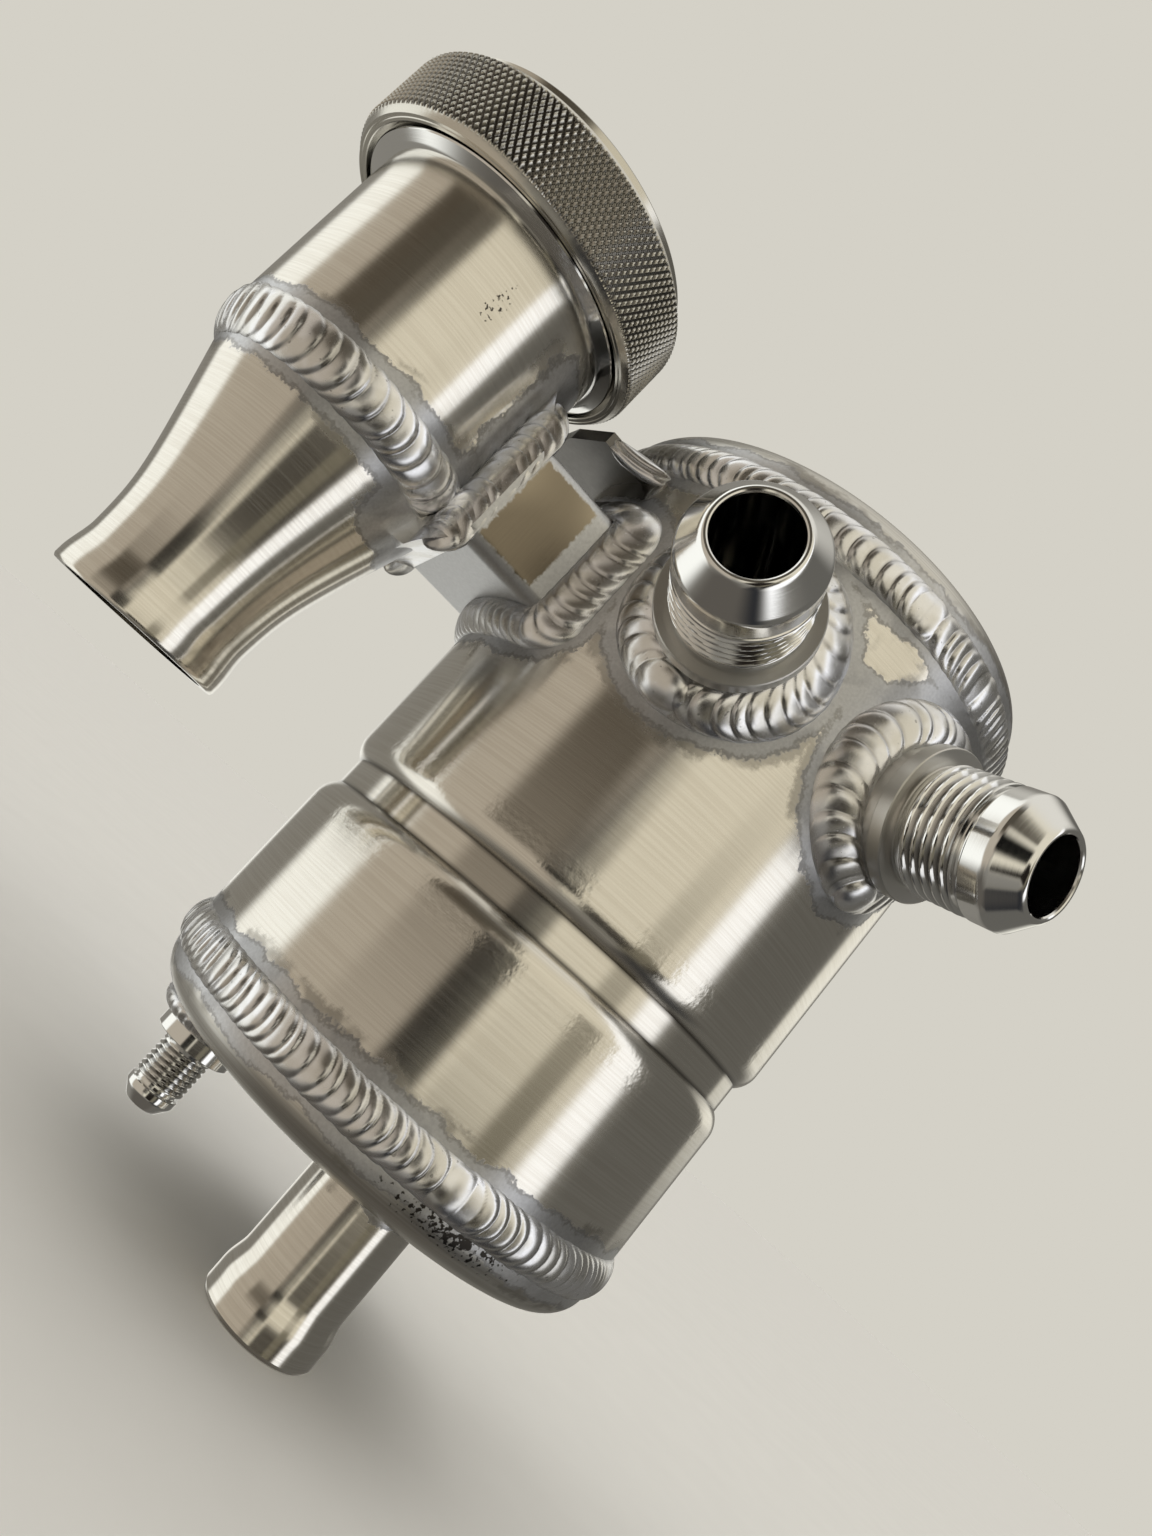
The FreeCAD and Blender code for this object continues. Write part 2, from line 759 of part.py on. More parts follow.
def make_cap_seal():
    body = new_body("cap_seal")
    turn_profile(body, [
        (neck_bore, neck_top),
        (seal_outer, neck_top),
        (seal_outer, cap_roof),
        (neck_bore, cap_roof),
    ])
    place(body, -filler_offset, 0.0)
    return body


def make_filler_cap():
    body = new_body("filler_cap")
    bore = neck_thread_radius + d.thread_clearance
    relief_top = skirt_bottom + d.skirt_relief_depth
    turn_profile(body, [
        (0.0, cap_roof),
        (bore, cap_roof),
        (bore, relief_top),
        (skirt_relief_radius, relief_top),
        (skirt_relief_radius, skirt_bottom),
        (knob_bevel_radius, skirt_bottom),
        (knob_radius, knurl_bottom),
        (knob_radius, knurl_top),
        (knob_bevel_radius, knob_shoulder),
        (knob_disc_radius, knob_shoulder),
        (knob_disc_radius, knob_top),
        (0.0, knob_top),
    ])
    place(body, -filler_offset, 0.0)
    return body


# Hose spigot: a tube through the bottom cap with a swaged bead at its end
def make_hose_spigot():
    body = new_body("hose_spigot")
    bore = d.spigot_radius - d.spigot_wall
    bead_bore = d.spigot_bead_radius - d.spigot_wall
    bead_top = d.spigot_end + d.spigot_bead_length
    ramp = d.spigot_bead_radius - d.spigot_radius
    turn_profile(body, [
        (bore, can_bottom + d.can_wall + d.spigot_stub),
        (bore, bead_top + ramp),
        (bead_bore, bead_top),
        (bead_bore, d.spigot_end),
        (d.spigot_bead_radius, d.spigot_end),
        (d.spigot_bead_radius, bead_top),
        (d.spigot_radius, bead_top + ramp),
        (d.spigot_radius, can_bottom + d.can_wall + d.spigot_stub),
    ])
    place(body, d.spigot_east, -d.spigot_south)
    return body


def make_face_weld(name, radius, leg, east, north):
    """A fillet weld round a pipe that leaves the can's bottom face."""
    body = new_body(name)
    turn_profile(body, [
        (radius, can_bottom),
        (radius, can_bottom - leg),
        (radius + leg * d.small_weld_fill, can_bottom - leg * d.small_weld_fill),
        (radius + leg, can_bottom),
    ])
    place(body, east, north)
    return body


# Small flare fitting: a round base, a threaded barrel and a coned nose
def make_drain_fitting():
    body = new_body("drain_fitting")
    base_end = can_bottom - d.drain_base_height
    thread_from = base_end - d.drain_relief_height
    thread_to = thread_from - d.drain_thread_length
    tip = can_bottom - d.drain_length
    nose_from = tip + (d.drain_thread_radius - d.drain_nose_radius) * d.drain_nose_slope
    turn_profile(body, [
        (d.drain_bore, can_bottom + d.can_wall),
        (d.drain_relief_radius, can_bottom + d.can_wall),
        (d.drain_relief_radius, can_bottom),
        (d.drain_base_radius, can_bottom),
        (d.drain_base_radius, base_end),
        (d.drain_relief_radius, base_end),
        (d.drain_relief_radius, thread_from),
        (d.drain_thread_radius, thread_from),
        (d.drain_thread_radius, thread_to),
        (d.drain_relief_radius, thread_to),
        (d.drain_relief_radius, thread_to - d.drain_relief_height),
        (d.drain_thread_radius, thread_to - d.drain_relief_height),
        (d.drain_thread_radius, nose_from),
        (d.drain_nose_radius, tip),
        (d.drain_bore, tip),
    ])
    place(body, -drain_west, -d.drain_south)
    return body


# Mounting tab: a flat plate coped to the can under its top weld, with a bolt hole at the rear
def make_mount_tab():
    body = new_body("mount_tab")
    sketch = new_sketch(body, "XY_Plane", "mount_tab_outline")
    eye_edge = -tab_eye_west - d.tab_eye_radius
    draw_outline(sketch, [
        (0.0, -d.tab_front_south),
        (0.0, d.tab_eye_north + d.tab_eye_radius),
        (-tab_eye_west, d.tab_eye_north + d.tab_eye_radius, d.tab_eye_radius, "left"),
        (eye_edge, d.tab_eye_north),
        (-tab_west, -d.tab_reach_south),
        (-tab_front_west, -d.tab_front_south),
    ])
    pad_sketch(body, sketch, d.tab_thickness)
    cut_circles(body, "XY_Plane", [(0.0, 0.0, d.can_radius)], "cope")
    cut_circles(body, "XY_Plane", [(-tab_eye_west, d.tab_eye_north, d.tab_hole)], "bolt_hole")
    place(body, 0.0, 0.0, tab_bottom)
    return body


# Weld in the corner between the tab's front edge and the can
def make_mount_tab_weld():
    body = new_body("mount_tab_weld")
    sketch = new_sketch(body, "XY_Plane", "mount_tab_weld_outline")
    south = d.tab_front_south
    wall = root(d.can_radius * d.can_radius - south * south)
    toe = south + d.tab_weld_leg
    toe_wall = root(d.can_radius * d.can_radius - toe * toe)
    draw_outline(sketch, [
        (-wall - d.tab_weld_leg, -south, d.tab_weld_bend, "left"),
        (-toe_wall, -toe),
        (-toe_wall + d.can_wall, -south),
    ])
    pad_sketch(body, sketch, d.tab_thickness)
    cut_circles(body, "XY_Plane", [(0.0, 0.0, d.can_radius)], "cope")
    place(body, 0.0, 0.0, tab_bottom)
    return body


# Baffle: a perforated plate that lies on the groove's inner ridge
def make_baffle():
    body = new_body("baffle")
    edge = can_inner - d.baffle_clearance
    turn_profile(body, [
        (0.0, d.groove_half),
        (edge, d.groove_half),
        (edge, d.groove_half + d.baffle_thickness),
        (0.0, d.groove_half + d.baffle_thickness),
    ])
    sketch = new_sketch(body, "XY_Plane", "baffle_holes")
    draw_circle(sketch, 0.0, 0.0, d.baffle_hole)
    for ring in (1, 2, 3):
        reach = d.baffle_pitch * ring
        for step in range(6 * ring):
            turn = math.radians(360.0 / (6 * ring) * step)
            draw_circle(sketch, reach * math.cos(turn), reach * math.sin(turn), d.baffle_hole)
    cut_through(body, sketch)
    return body


PIECES = [
    make_can_body(),
    make_top_cap(),
    make_bottom_cap(),
    make_ring_weld("body_top_weld", upper_joint),
    make_ring_weld("body_bottom_weld", d.lower_joint),
    make_port("front_port", front_azimuth, d.front_height),
    make_port("side_port", side_azimuth, side_height),
    make_port_weld("front_port_weld", front_azimuth, d.front_height),
    make_port_weld("side_port_weld", side_azimuth, side_height),
    make_link_block(),
    make_link_weld_can(),
    make_link_weld_filler(),
    make_filler_tube(),
    make_filler_cone(),
    make_filler_cone_weld(),
    make_filler_neck(),
    make_cap_seal(),
    make_filler_cap(),
    make_hose_spigot(),
    make_face_weld("hose_spigot_weld", d.spigot_radius, d.small_weld_leg, d.spigot_east, -d.spigot_south),
    make_drain_fitting(),
    make_face_weld("drain_fitting_weld", d.drain_base_radius, d.drain_weld_leg, -drain_west, -d.drain_south),
    make_mount_tab(),
    make_mount_tab_weld(),
    make_baffle(),
]

doc.recompute()
for item in doc.Objects:
    if "Invalid" in item.State or "Error" in item.State:
        raise RuntimeError(f"{item.Name} failed: {item.State}")
os.makedirs("parts", exist_ok=True)
for piece in PIECES:
    shape = piece.Shape
    if shape.isNull() or not shape.isValid() or not shape.Solids:
        raise RuntimeError(f"{piece.Label} has no valid solid")
    print(piece.Label, len(shape.Solids), round(shape.Volume, 1))
    shape.exportStep(f"parts/{piece.Label}.step")
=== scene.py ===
"""Looks of the welded aluminium oil catch can: smooth turned walls, rippled weld beads, threads and knurl."""
import json
import math
import bmesh
import bpy
import numpy as np
from mathutils import Matrix, Vector


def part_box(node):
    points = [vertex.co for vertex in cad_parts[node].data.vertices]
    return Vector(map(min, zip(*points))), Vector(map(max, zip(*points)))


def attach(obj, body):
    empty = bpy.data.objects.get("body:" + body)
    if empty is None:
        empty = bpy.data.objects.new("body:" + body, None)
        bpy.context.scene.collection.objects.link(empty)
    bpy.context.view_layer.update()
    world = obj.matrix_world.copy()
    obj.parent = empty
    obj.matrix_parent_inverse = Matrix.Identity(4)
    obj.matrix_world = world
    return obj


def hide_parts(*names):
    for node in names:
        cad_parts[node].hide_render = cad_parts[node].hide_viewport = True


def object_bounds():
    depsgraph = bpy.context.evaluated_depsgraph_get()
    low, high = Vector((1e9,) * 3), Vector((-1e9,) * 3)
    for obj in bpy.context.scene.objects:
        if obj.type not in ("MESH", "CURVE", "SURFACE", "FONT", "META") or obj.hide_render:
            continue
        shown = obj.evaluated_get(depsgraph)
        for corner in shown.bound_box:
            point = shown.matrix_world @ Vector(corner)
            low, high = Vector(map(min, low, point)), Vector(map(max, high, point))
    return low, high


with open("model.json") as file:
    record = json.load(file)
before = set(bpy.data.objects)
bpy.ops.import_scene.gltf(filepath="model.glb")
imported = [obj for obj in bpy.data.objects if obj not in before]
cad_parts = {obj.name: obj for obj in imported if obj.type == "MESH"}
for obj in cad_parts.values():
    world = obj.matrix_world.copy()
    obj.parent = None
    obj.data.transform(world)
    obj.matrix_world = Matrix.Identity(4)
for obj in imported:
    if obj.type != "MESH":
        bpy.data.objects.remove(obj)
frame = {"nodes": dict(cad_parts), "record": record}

CAD_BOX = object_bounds()
NODES = frame["nodes"]
MM = 0.001
TAU = 2 * math.pi
FAR = 99.0

# Sizes read from the frame, in millimetres


def box_mm(node):
    """Lowest and highest corner of a node, in millimetres."""
    low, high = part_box(node)
    return np.array(low) / MM, np.array(high) / MM


def mount_mm(name):
    """Place in millimetres and axis of one of the record's mounts."""
    found = [mount for mount in frame["record"]["mounts"] if mount["name"] == name][0]
    return np.array(found["pos_m"]) / MM, np.array(found["axis"])


CAN_LOW, CAN_HIGH = box_mm("can_body")
CAN_R = CAN_HIGH[0]
LOWER_JOINT, UPPER_JOINT = CAN_LOW[2], CAN_HIGH[2]
CAN_BOTTOM = box_mm("bottom_cap")[0][2]
TUBE_LOW, TUBE_HIGH = box_mm("filler_tube")
FILLER_X = (TUBE_LOW[0] + TUBE_HIGH[0]) / 2
FILLER_R = (TUBE_HIGH[0] - TUBE_LOW[0]) / 2
CONE_JOINT, TUBE_TOP = TUBE_LOW[2], TUBE_HIGH[2]
CONE_END = box_mm("filler_cone")[0][2]
BLOCK_LOW, BLOCK_HIGH = box_mm("link_block")
BLOCK_MIDDLE = (BLOCK_LOW[2] + BLOCK_HIGH[2]) / 2
BLOCK_HALF, BLOCK_HALF_UP = BLOCK_HIGH[1], (BLOCK_HIGH[2] - BLOCK_LOW[2]) / 2
SPIGOT_LOW, SPIGOT_HIGH = box_mm("hose_spigot")
SPIGOT_AT = (SPIGOT_LOW + SPIGOT_HIGH) / 2
DRAIN_LOW, DRAIN_HIGH = box_mm("drain_fitting")
DRAIN_AT = (DRAIN_LOW + DRAIN_HIGH) / 2
TAB_LOW, TAB_HIGH = box_mm("mount_tab")
CAP_LOW, CAP_HIGH = box_mm("filler_cap")
NECK_TOP = box_mm("filler_neck")[1][2]

# Sizes that repeat the solids' own, in millimetres
WALL = 3.0
GROOVE_FLOOR_HALF, GROOVE_HALF, GROOVE_DEPTH = 3.2, 8.1, 2.35
CAP_LAND, CAP_ROUNDING = 4.0, 8.5
RING_HALF, RING_CROWN, CONE_BEAD_HALF = 4.6, 1.9, 5.3
PORT_BORE, PORT_ROOT, PORT_HOLE, PORT_THREAD_R = 7.65, 14.6, 10.5, 13.2
PORT_WELD_OUTER, PORT_WELD_HEIGHT = 22.4, 5.2
BLOCK_WELD_LEG, BLOCK_WELD_HEIGHT, BLOCK_ROUNDING = 7.0, 4.6, 1.8
BEAD_LAP, BEAD_TOE_NORTH, BEAD_LOW, BEAD_HIGH = 1.6, 17.9, 37.5, 84.4
LINK_START, LINK_RUN = BEAD_LOW + 2.0, BEAD_HIGH - BEAD_LOW - 6.0
CONE_STRAIGHT, CONE_END_R, CONE_WALL, CONE_MOUTH_STEP, CONE_LIP = 20.0, 18.2, 2.5, 1.2, 0.9
SPIGOT_R, SPIGOT_BEAD_R, SPIGOT_WALL, SPIGOT_BEAD = 12.7, 13.7, 2.0, 7.0
SMALL_LEG, DRAIN_LEG, HOLE_INSET = 4.6, 3.2, 1.0
DRAIN_BASE_R, DRAIN_BASE, DRAIN_BORE, DRAIN_THREAD_R, DRAIN_RELIEF_R = 8.6, 6.4, 2.2, 5.56, 4.7
DRAIN_RELIEF, DRAIN_THREAD, DRAIN_NOSE_R, DRAIN_NOSE_SLOPE = 1.2, 8.0, 3.6, 1.33
NECK_BORE, NECK_SLEEVE, COLLAR_R, COLLAR, NECK_THREAD_R, CAP_BORE = 24.5, 8.0, 34.0, 3.4, 31.2, 31.55
PORT_PITCH, DRAIN_PITCH, NECK_PITCH = 2.117, 1.27, 3.0
KNURL_AROUND, KNURL_ALONG, KNURL_DEPTH, KNURL_STEPS = 1.61, 2.6, 0.6, 6

# Marks on the walls: azimuth in degrees, height, half widths around and along in millimetres, strength
HEAT_STAIN = (-94.8, 72.5, 4.5, 6.5, 3.5)
BARREL_PITS = (-80.5, 79.5, 2.2, 6.0, 0.62)

# Each port's azimuth and height
PORTS = {}
for port_name in ("front", "side"):
    place, axis = mount_mm(f"{port_name}_port_thread")
    PORTS[port_name] = (math.atan2(axis[1], axis[0]), place[2])


# Grids and meshes


def smooth_step(value, low, high):
    """Rises from 0 at low to 1 at high along the curve 3t^2 - 2t^3."""
    share = np.clip((value - low) / (high - low), 0.0, 1.0)
    return share * share * (3 - 2 * share)


def stacked(*parts):
    """Points or pairs from their coordinates, stretched to one shape."""
    return np.stack(np.broadcast_arrays(*parts), -1)


def unit(vectors):
    """The vectors at a length of one."""
    return vectors / np.linalg.norm(vectors, axis=-1, keepdims=True)


def across(start, finish, v):
    """Points of the straight line from start, at v = -1, to finish, at v = 1."""
    return start + (finish - start) * ((v + 1) / 2)[..., None]


def ring_angles(count):
    """Angles of a full turn, without the last one."""
    return np.arange(count) * TAU / count


def about_z(radius, height, angles, x=0.0, y=0.0):
    """Points at a radius, height and angle about a vertical axis."""
    return stacked(x + radius * np.cos(angles), y + radius * np.sin(angles), height)


def port_point(port, out, sideways, up):
    """Points at a distance out along a port's axis, to its side and above it."""
    azimuth, height = PORTS[port]
    return stacked(out * math.cos(azimuth) - sideways * math.sin(azimuth),
                   out * math.sin(azimuth) + sideways * math.cos(azimuth), up + height)


def refined(corners, step):
    """Points along a line of corners, with none further apart than step."""
    corners = np.asarray(corners, float)
    rows = []
    for start, finish in zip(corners[:-1], corners[1:]):
        count = max(1, math.ceil(np.linalg.norm(finish - start) / step))
        rows.append(start + (finish - start) * (np.arange(count) / count)[:, None])
    return np.vstack(rows + [corners[-1:]])


def bevelled(corners, size):
    """A closed outline with each corner cut back by size, or a third of the side, along both of its sides."""
    corners = np.asarray(corners, float)
    ends = []
    for neighbour in (1, -1):
        side = np.roll(corners, neighbour, 0) - corners
        reach = np.linalg.norm(side, axis=1, keepdims=True)
        ends.append(corners + side * (np.minimum(size, reach / 3) / reach))
    return np.stack(ends, 1).reshape(-1, 2)


def run_length(rows):
    """Distance of each row from the first one, along their line."""
    return np.concatenate([[0], np.cumsum(np.linalg.norm(np.diff(rows, axis=0), axis=1))])


def surface_uv(rows, radius, angles, skins=1):
    """Distance along the profile and arc at the radius, in millimetres, for each of the skins."""
    return np.tile(stacked(run_length(rows)[:, None], angles * radius).reshape(-1, 2), (skins, 1))


def grid_faces(rows, columns, close_rows=False):
    """Corner numbers of the four-sided faces between neighbouring points of a grid whose columns close up."""
    row, column = np.meshgrid(np.arange(rows if close_rows else rows - 1), np.arange(columns), indexing="ij")
    below, beside = (row + 1) % rows, (column + 1) % columns
    corners = [row * columns + column, row * columns + beside, below * columns + beside, below * columns + column]
    return np.stack(corners, -1).reshape(-1, 4)


def double_wall(outer, inner, angles, x=0.0, hole=None):
    """Points and faces of a wall with an outer and an inner skin, whose rows match one to one.

    outer and inner are rows of (radius, height). hole says, for points of the outer skin, which of them lie in
    an opening; the faces there are left out and the two skins are joined round it.
    """
    rows, columns = len(outer), len(angles)
    shift = rows * columns
    skins = [about_z(skin[:, :1], skin[:, 1:], angles, x) for skin in (outer, inner)]
    open_face = np.zeros((rows - 1, columns), bool)
    if hole is not None:
        wrapped = np.concatenate([skins[0], skins[0][:, :1]], 1)
        open_face = hole((wrapped[:-1, :-1] + wrapped[1:, :-1] + wrapped[:-1, 1:] + wrapped[1:, 1:]) / 4)
    kept = grid_faces(rows, columns).reshape(rows - 1, columns, 4)[~open_face]
    faces = [kept, kept + shift]

    def join_skins(a, b):
        faces.append(np.stack([a, b, b + shift, a + shift], -1))

    turn = np.arange(columns)
    for row in (0, rows - 1):
        if outer[row, 0] > 0:
            join_skins(row * columns + turn, row * columns + (turn + 1) % columns)
    row, column = np.nonzero(open_face != np.roll(open_face, 1, 1))
    join_skins(row * columns + column, (row + 1) * columns + column)
    row, column = np.nonzero(open_face[1:] != open_face[:-1])
    join_skins((row + 1) * columns + column, (row + 1) * columns + (column + 1) % columns)
    return np.concatenate([skin.reshape(-1, 3) for skin in skins]), np.concatenate(faces)


def make_piece(name, points, faces, material, node=None, body="can", fields=None, uv=None, sharp=30.0):
    """A closed piece from points in millimetres, with its doubles merged and its faces turned outwards.

    fields are values a point, kept as attributes that the material reads; uv gives each point its place in
    millimetres along and round the surface.
    """
    points = np.asarray(points, float).reshape(-1, 3)
    mesh = bpy.data.meshes.new(name)
    mesh.from_pydata((points * MM).tolist(), [], faces if isinstance(faces, list) else faces.tolist())
    for key, values in (fields or {}).items():
        layer = mesh.attributes.new(key, "FLOAT", "POINT")
        layer.data.foreach_set("value", np.broadcast_to(values, len(points)).astype(np.float32))
    if uv is not None:
        corner = np.zeros(len(mesh.loops), np.int32)
        mesh.loops.foreach_get("vertex_index", corner)
        layer = mesh.uv_layers.new(name="surface")
        layer.data.foreach_set("uv", np.asarray(uv, np.float32)[corner].ravel())
    work = bmesh.new()
    work.from_mesh(mesh)
    bmesh.ops.remove_doubles(work, verts=work.verts, dist=2e-7)
    bmesh.ops.recalc_face_normals(work, faces=work.faces)
    work.to_mesh(mesh)
    work.free()
    mesh.shade_smooth()
    mesh.set_sharp_from_angle(angle=math.radians(sharp))
    mesh.materials.append(material)
    piece = bpy.data.objects.new(name, mesh)
    bpy.context.scene.collection.objects.link(piece)
    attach(piece, body)
    if node:
        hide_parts(node)


# Materials


def srgb(code):
    """A hex colour as linear values."""
    values = [int(code[at:at + 2], 16) / 255 for at in (1, 3, 5)]
    return [v / 12.92 if v <= 0.04045 else ((v + 0.055) / 1.055) ** 2.4 for v in values] + [1.0]


def add(tree, kind, settings=None, links=None, values=None):
    """Adds a node with its settings, its socket values and the sockets that feed it."""
    node = tree.nodes.new(kind)
    for key, value in (settings or {}).items():
        setattr(node, key, value)
    for key, value in (values or {}).items():
        node.inputs[key].default_value = value
    for key, source in (links or {}).items():
        tree.links.new(source, node.inputs[key])
    return node


def calc(tree, operation, *terms):
    """The result of a sum on numbers and sockets."""
    node = add(tree, "ShaderNodeMath", {"operation": operation})
    for number, term in enumerate(terms):
        if isinstance(term, (int, float)):
            node.inputs[number].default_value = term
        else:
            tree.links.new(term, node.inputs[number])
    return node.outputs[0]


def product(tree, first, *others):
    """The terms multiplied."""
    for term in others:
        first = calc(tree, "MULTIPLY", first, term)
    return first


def blend(tree, share, first, second):
    """A colour between two, each a hex code or a socket."""
    node = add(tree, "ShaderNodeMix", {"data_type": "RGBA"}, {"Factor": share})
    for key, value in ((6, first), (7, second)):
        if isinstance(value, str):
            node.inputs[key].default_value = srgb(value)
        else:
            tree.links.new(value, node.inputs[key])
    return node.outputs[2]


def tint(tree, colour, code, *shares):
    """A colour drawn towards another by the product of the shares."""
    return blend(tree, product(tree, *shares), colour, code)


def step_between(tree, value, low, high, start=0.0, finish=1.0):
    """Maps a value smoothly from low..high to start..finish."""
    node = add(tree, "ShaderNodeMapRange", {"interpolation_type": "SMOOTHSTEP"},
               {"Value": value}, {"From Min": low, "From Max": high, "To Min": start, "To Max": finish})
    return node.outputs["Result"]


def noise(tree, coordinates, scale, detail):
    """Noise from 0 to 1, with as many grains to a unit of the coordinates as scale says for each axis."""
    spread = add(tree, "ShaderNodeMapping", None, {"Vector": coordinates}, {"Scale": scale})
    grains = add(tree, "ShaderNodeTexNoise", None, {"Vector": spread.outputs[0]}, {"Scale": 1.0, "Detail": detail})
    return grains.outputs["Fac"]


def speckle(tree, spot, per_mm, detail=2.0, along=1.0):
    """Noise from 0 to 1 whose grains are 1/per_mm wide, or longer along Z; spot is in metres."""
    return noise(tree, spot, (per_mm / MM, per_mm / MM, per_mm / MM * along), detail)


def swing(tree, spot, per_mm, detail=2.0):
    """Speckle from -0.5 to 0.5."""
    return calc(tree, "SUBTRACT", speckle(tree, spot, per_mm, detail), 0.5)


def surface(tree):
    """Place along and round the piece's surface, in millimetres."""
    return add(tree, "ShaderNodeUVMap", {"uv_map": "surface"}).outputs[0]


def field(tree, name):
    """A value kept on the piece's points."""
    return add(tree, "ShaderNodeAttribute", {"attribute_name": name}).outputs["Fac"]


def new_material(name):
    """A material with its node tree, its shader and Object coordinates."""
    material = bpy.data.materials.new(name)
    material.use_nodes = True
    tree = material.node_tree
    return material, tree, tree.nodes["Principled BSDF"], add(tree, "ShaderNodeTexCoord").outputs["Object"]


def dress(tree, shader, colour, rough, metallic=1.0, bump=None):
    """Feeds the shader; bump is a height from 0 to 1, its strength and its depth in millimetres."""
    tree.links.new(colour, shader.inputs["Base Color"])
    tree.links.new(rough, shader.inputs["Roughness"])
    shader.inputs["Metallic"].default_value = metallic
    if bump:
        height, strength, depth = bump
        relief = add(tree, "ShaderNodeBump", None, {"Height": height},
                     {"Strength": strength, "Distance": depth * MM})
        tree.links.new(relief.outputs[0], shader.inputs["Normal"])


def brushed_aluminium(name, light, shade, rough, stretch):
    """Aluminium brushed round its axis: hairline scratches that draw each reflection out along the axis.

    Beside a weld the heat has left a frosted grey band, and past its ragged edge a darker stain in places.
    """
    material, tree, shader, spot = new_material(name)
    scratch = noise(tree, surface(tree), (6.0, 0.06, 1.0), 4.0)
    hair = noise(tree, surface(tree), (2.2, 0.03, 1.0), 6.0)
    ragged = swing(tree, spot, 1.3, 5.0)
    shift = calc(tree, "MULTIPLY_ADD", swing(tree, spot, 0.13), 5.5, product(tree, ragged, 2.4))
    edge = calc(tree, "SUBTRACT", field(tree, "toe"), shift)
    frost = step_between(tree, edge, 2.3, 2.9, 1.0, 0.0)
    patch = product(tree, step_between(tree, edge, 3.4, 5.0, 1.0, 0.0),
                    step_between(tree, speckle(tree, spot, 0.07, 3.0), 0.50, 0.58))
    soot = field(tree, "soot")
    sooty = calc(tree, "MULTIPLY_ADD", soot, 0.14, speckle(tree, spot, 1.1, 5.0))

    metal = blend(tree, step_between(tree, hair, 0.35, 0.65), light, shade)
    metal = tint(tree, metal, "#FFFFFF", step_between(tree, scratch, 0.62, 0.8), 0.35)
    metal = tint(tree, metal, "#8A867F", patch, 0.55)
    # Painted shade: a dark line along the corners of the groove floor, where the wall turns in.
    metal = tint(tree, metal, "#37322D", field(tree, "crease"), 0.8)
    frosted = blend(tree, speckle(tree, spot, 1.6, 4.0), "#BDBEC1", "#E2E3E6")
    frosted = tint(tree, frosted, "#969390", step_between(tree, edge, 1.5, 2.3), frost, 0.6)
    metal = blend(tree, frost, metal, frosted)
    metal = tint(tree, metal, "#45423F", step_between(tree, soot, 0.02, 0.2),
                 step_between(tree, sooty, 0.64, 0.70))

    streak = calc(tree, "MULTIPLY_ADD", scratch, 0.08, rough - 0.04)
    level = add(tree, "ShaderNodeMix", {"data_type": "FLOAT"}, {"Factor": frost, 2: streak}, {3: 0.44}).outputs[0]
    peel = product(tree, speckle(tree, spot, 0.75), field(tree, "peel"), 3.0)
    height = calc(tree, "ADD", calc(tree, "MULTIPLY_ADD", scratch, 0.10, peel), product(tree, ragged, frost, 1.5))
    dress(tree, shader, metal, calc(tree, "MULTIPLY_ADD", patch, 0.12, level), bump=(height, 0.25, 0.05))
    tangent = add(tree, "ShaderNodeTangent", {"direction_type": "UV_MAP", "uv_map": "surface"})
    tree.links.new(tangent.outputs[0], shader.inputs["Tangent"])
    shader.inputs["Anisotropic"].default_value = stretch
    return material


def weld_metal(name):
    """Filler metal of a hand-laid weld: satin domed ripples with painted shade in their creases, frosted at the
    toes.
    """
    material, tree, shader, spot = new_material(name)
    toe = field(tree, "edge")
    grain = speckle(tree, spot, 1.8, 4.0)
    metal = blend(tree, step_between(tree, speckle(tree, spot, 0.16), 0.4, 0.6), "#F3F4F8", "#E3E2E0")
    # Painted shade in the creases between the ripples.
    metal = tint(tree, metal, "#66625F", field(tree, "crease"), 0.55)
    metal = tint(tree, metal, "#B9BBBE", toe, 0.5)
    metal = tint(tree, metal, "#4F4D4A", step_between(tree, speckle(tree, spot, 0.9, 1.0), 0.72, 0.77), 0.45)
    rough = calc(tree, "MULTIPLY_ADD", grain, 0.12, calc(tree, "MULTIPLY_ADD", toe, 0.14, 0.19))
    height = product(tree, grain, calc(tree, "MULTIPLY_ADD", toe, 1.8, 0.35))
    dress(tree, shader, metal, rough, bump=(height, 0.2, 0.06))
    return material


def turned_aluminium(name, light, rough):
    """Aluminium turned on a lathe to a mirror finish, with satin rings where the tool left a feed mark and painted
    shade in thread roots and knurl valleys.
    """
    material, tree, shader, _ = new_material(name)
    satin = field(tree, "satin")
    feed = noise(tree, surface(tree), (7.0, 0.01, 1.0), 3.0)
    metal = tint(tree, light, "#BDBAB3", satin, 0.6)
    # Painted shade in the thread roots and knurl valleys.
    metal = tint(tree, metal, "#322E2A", field(tree, "groove"), 0.92)
    level = calc(tree, "MULTIPLY_ADD", satin, 0.26, calc(tree, "MULTIPLY_ADD", feed, 0.08, rough - 0.04))
    dress(tree, shader, metal, level, bump=(feed, 0.12, 0.03))
    return material


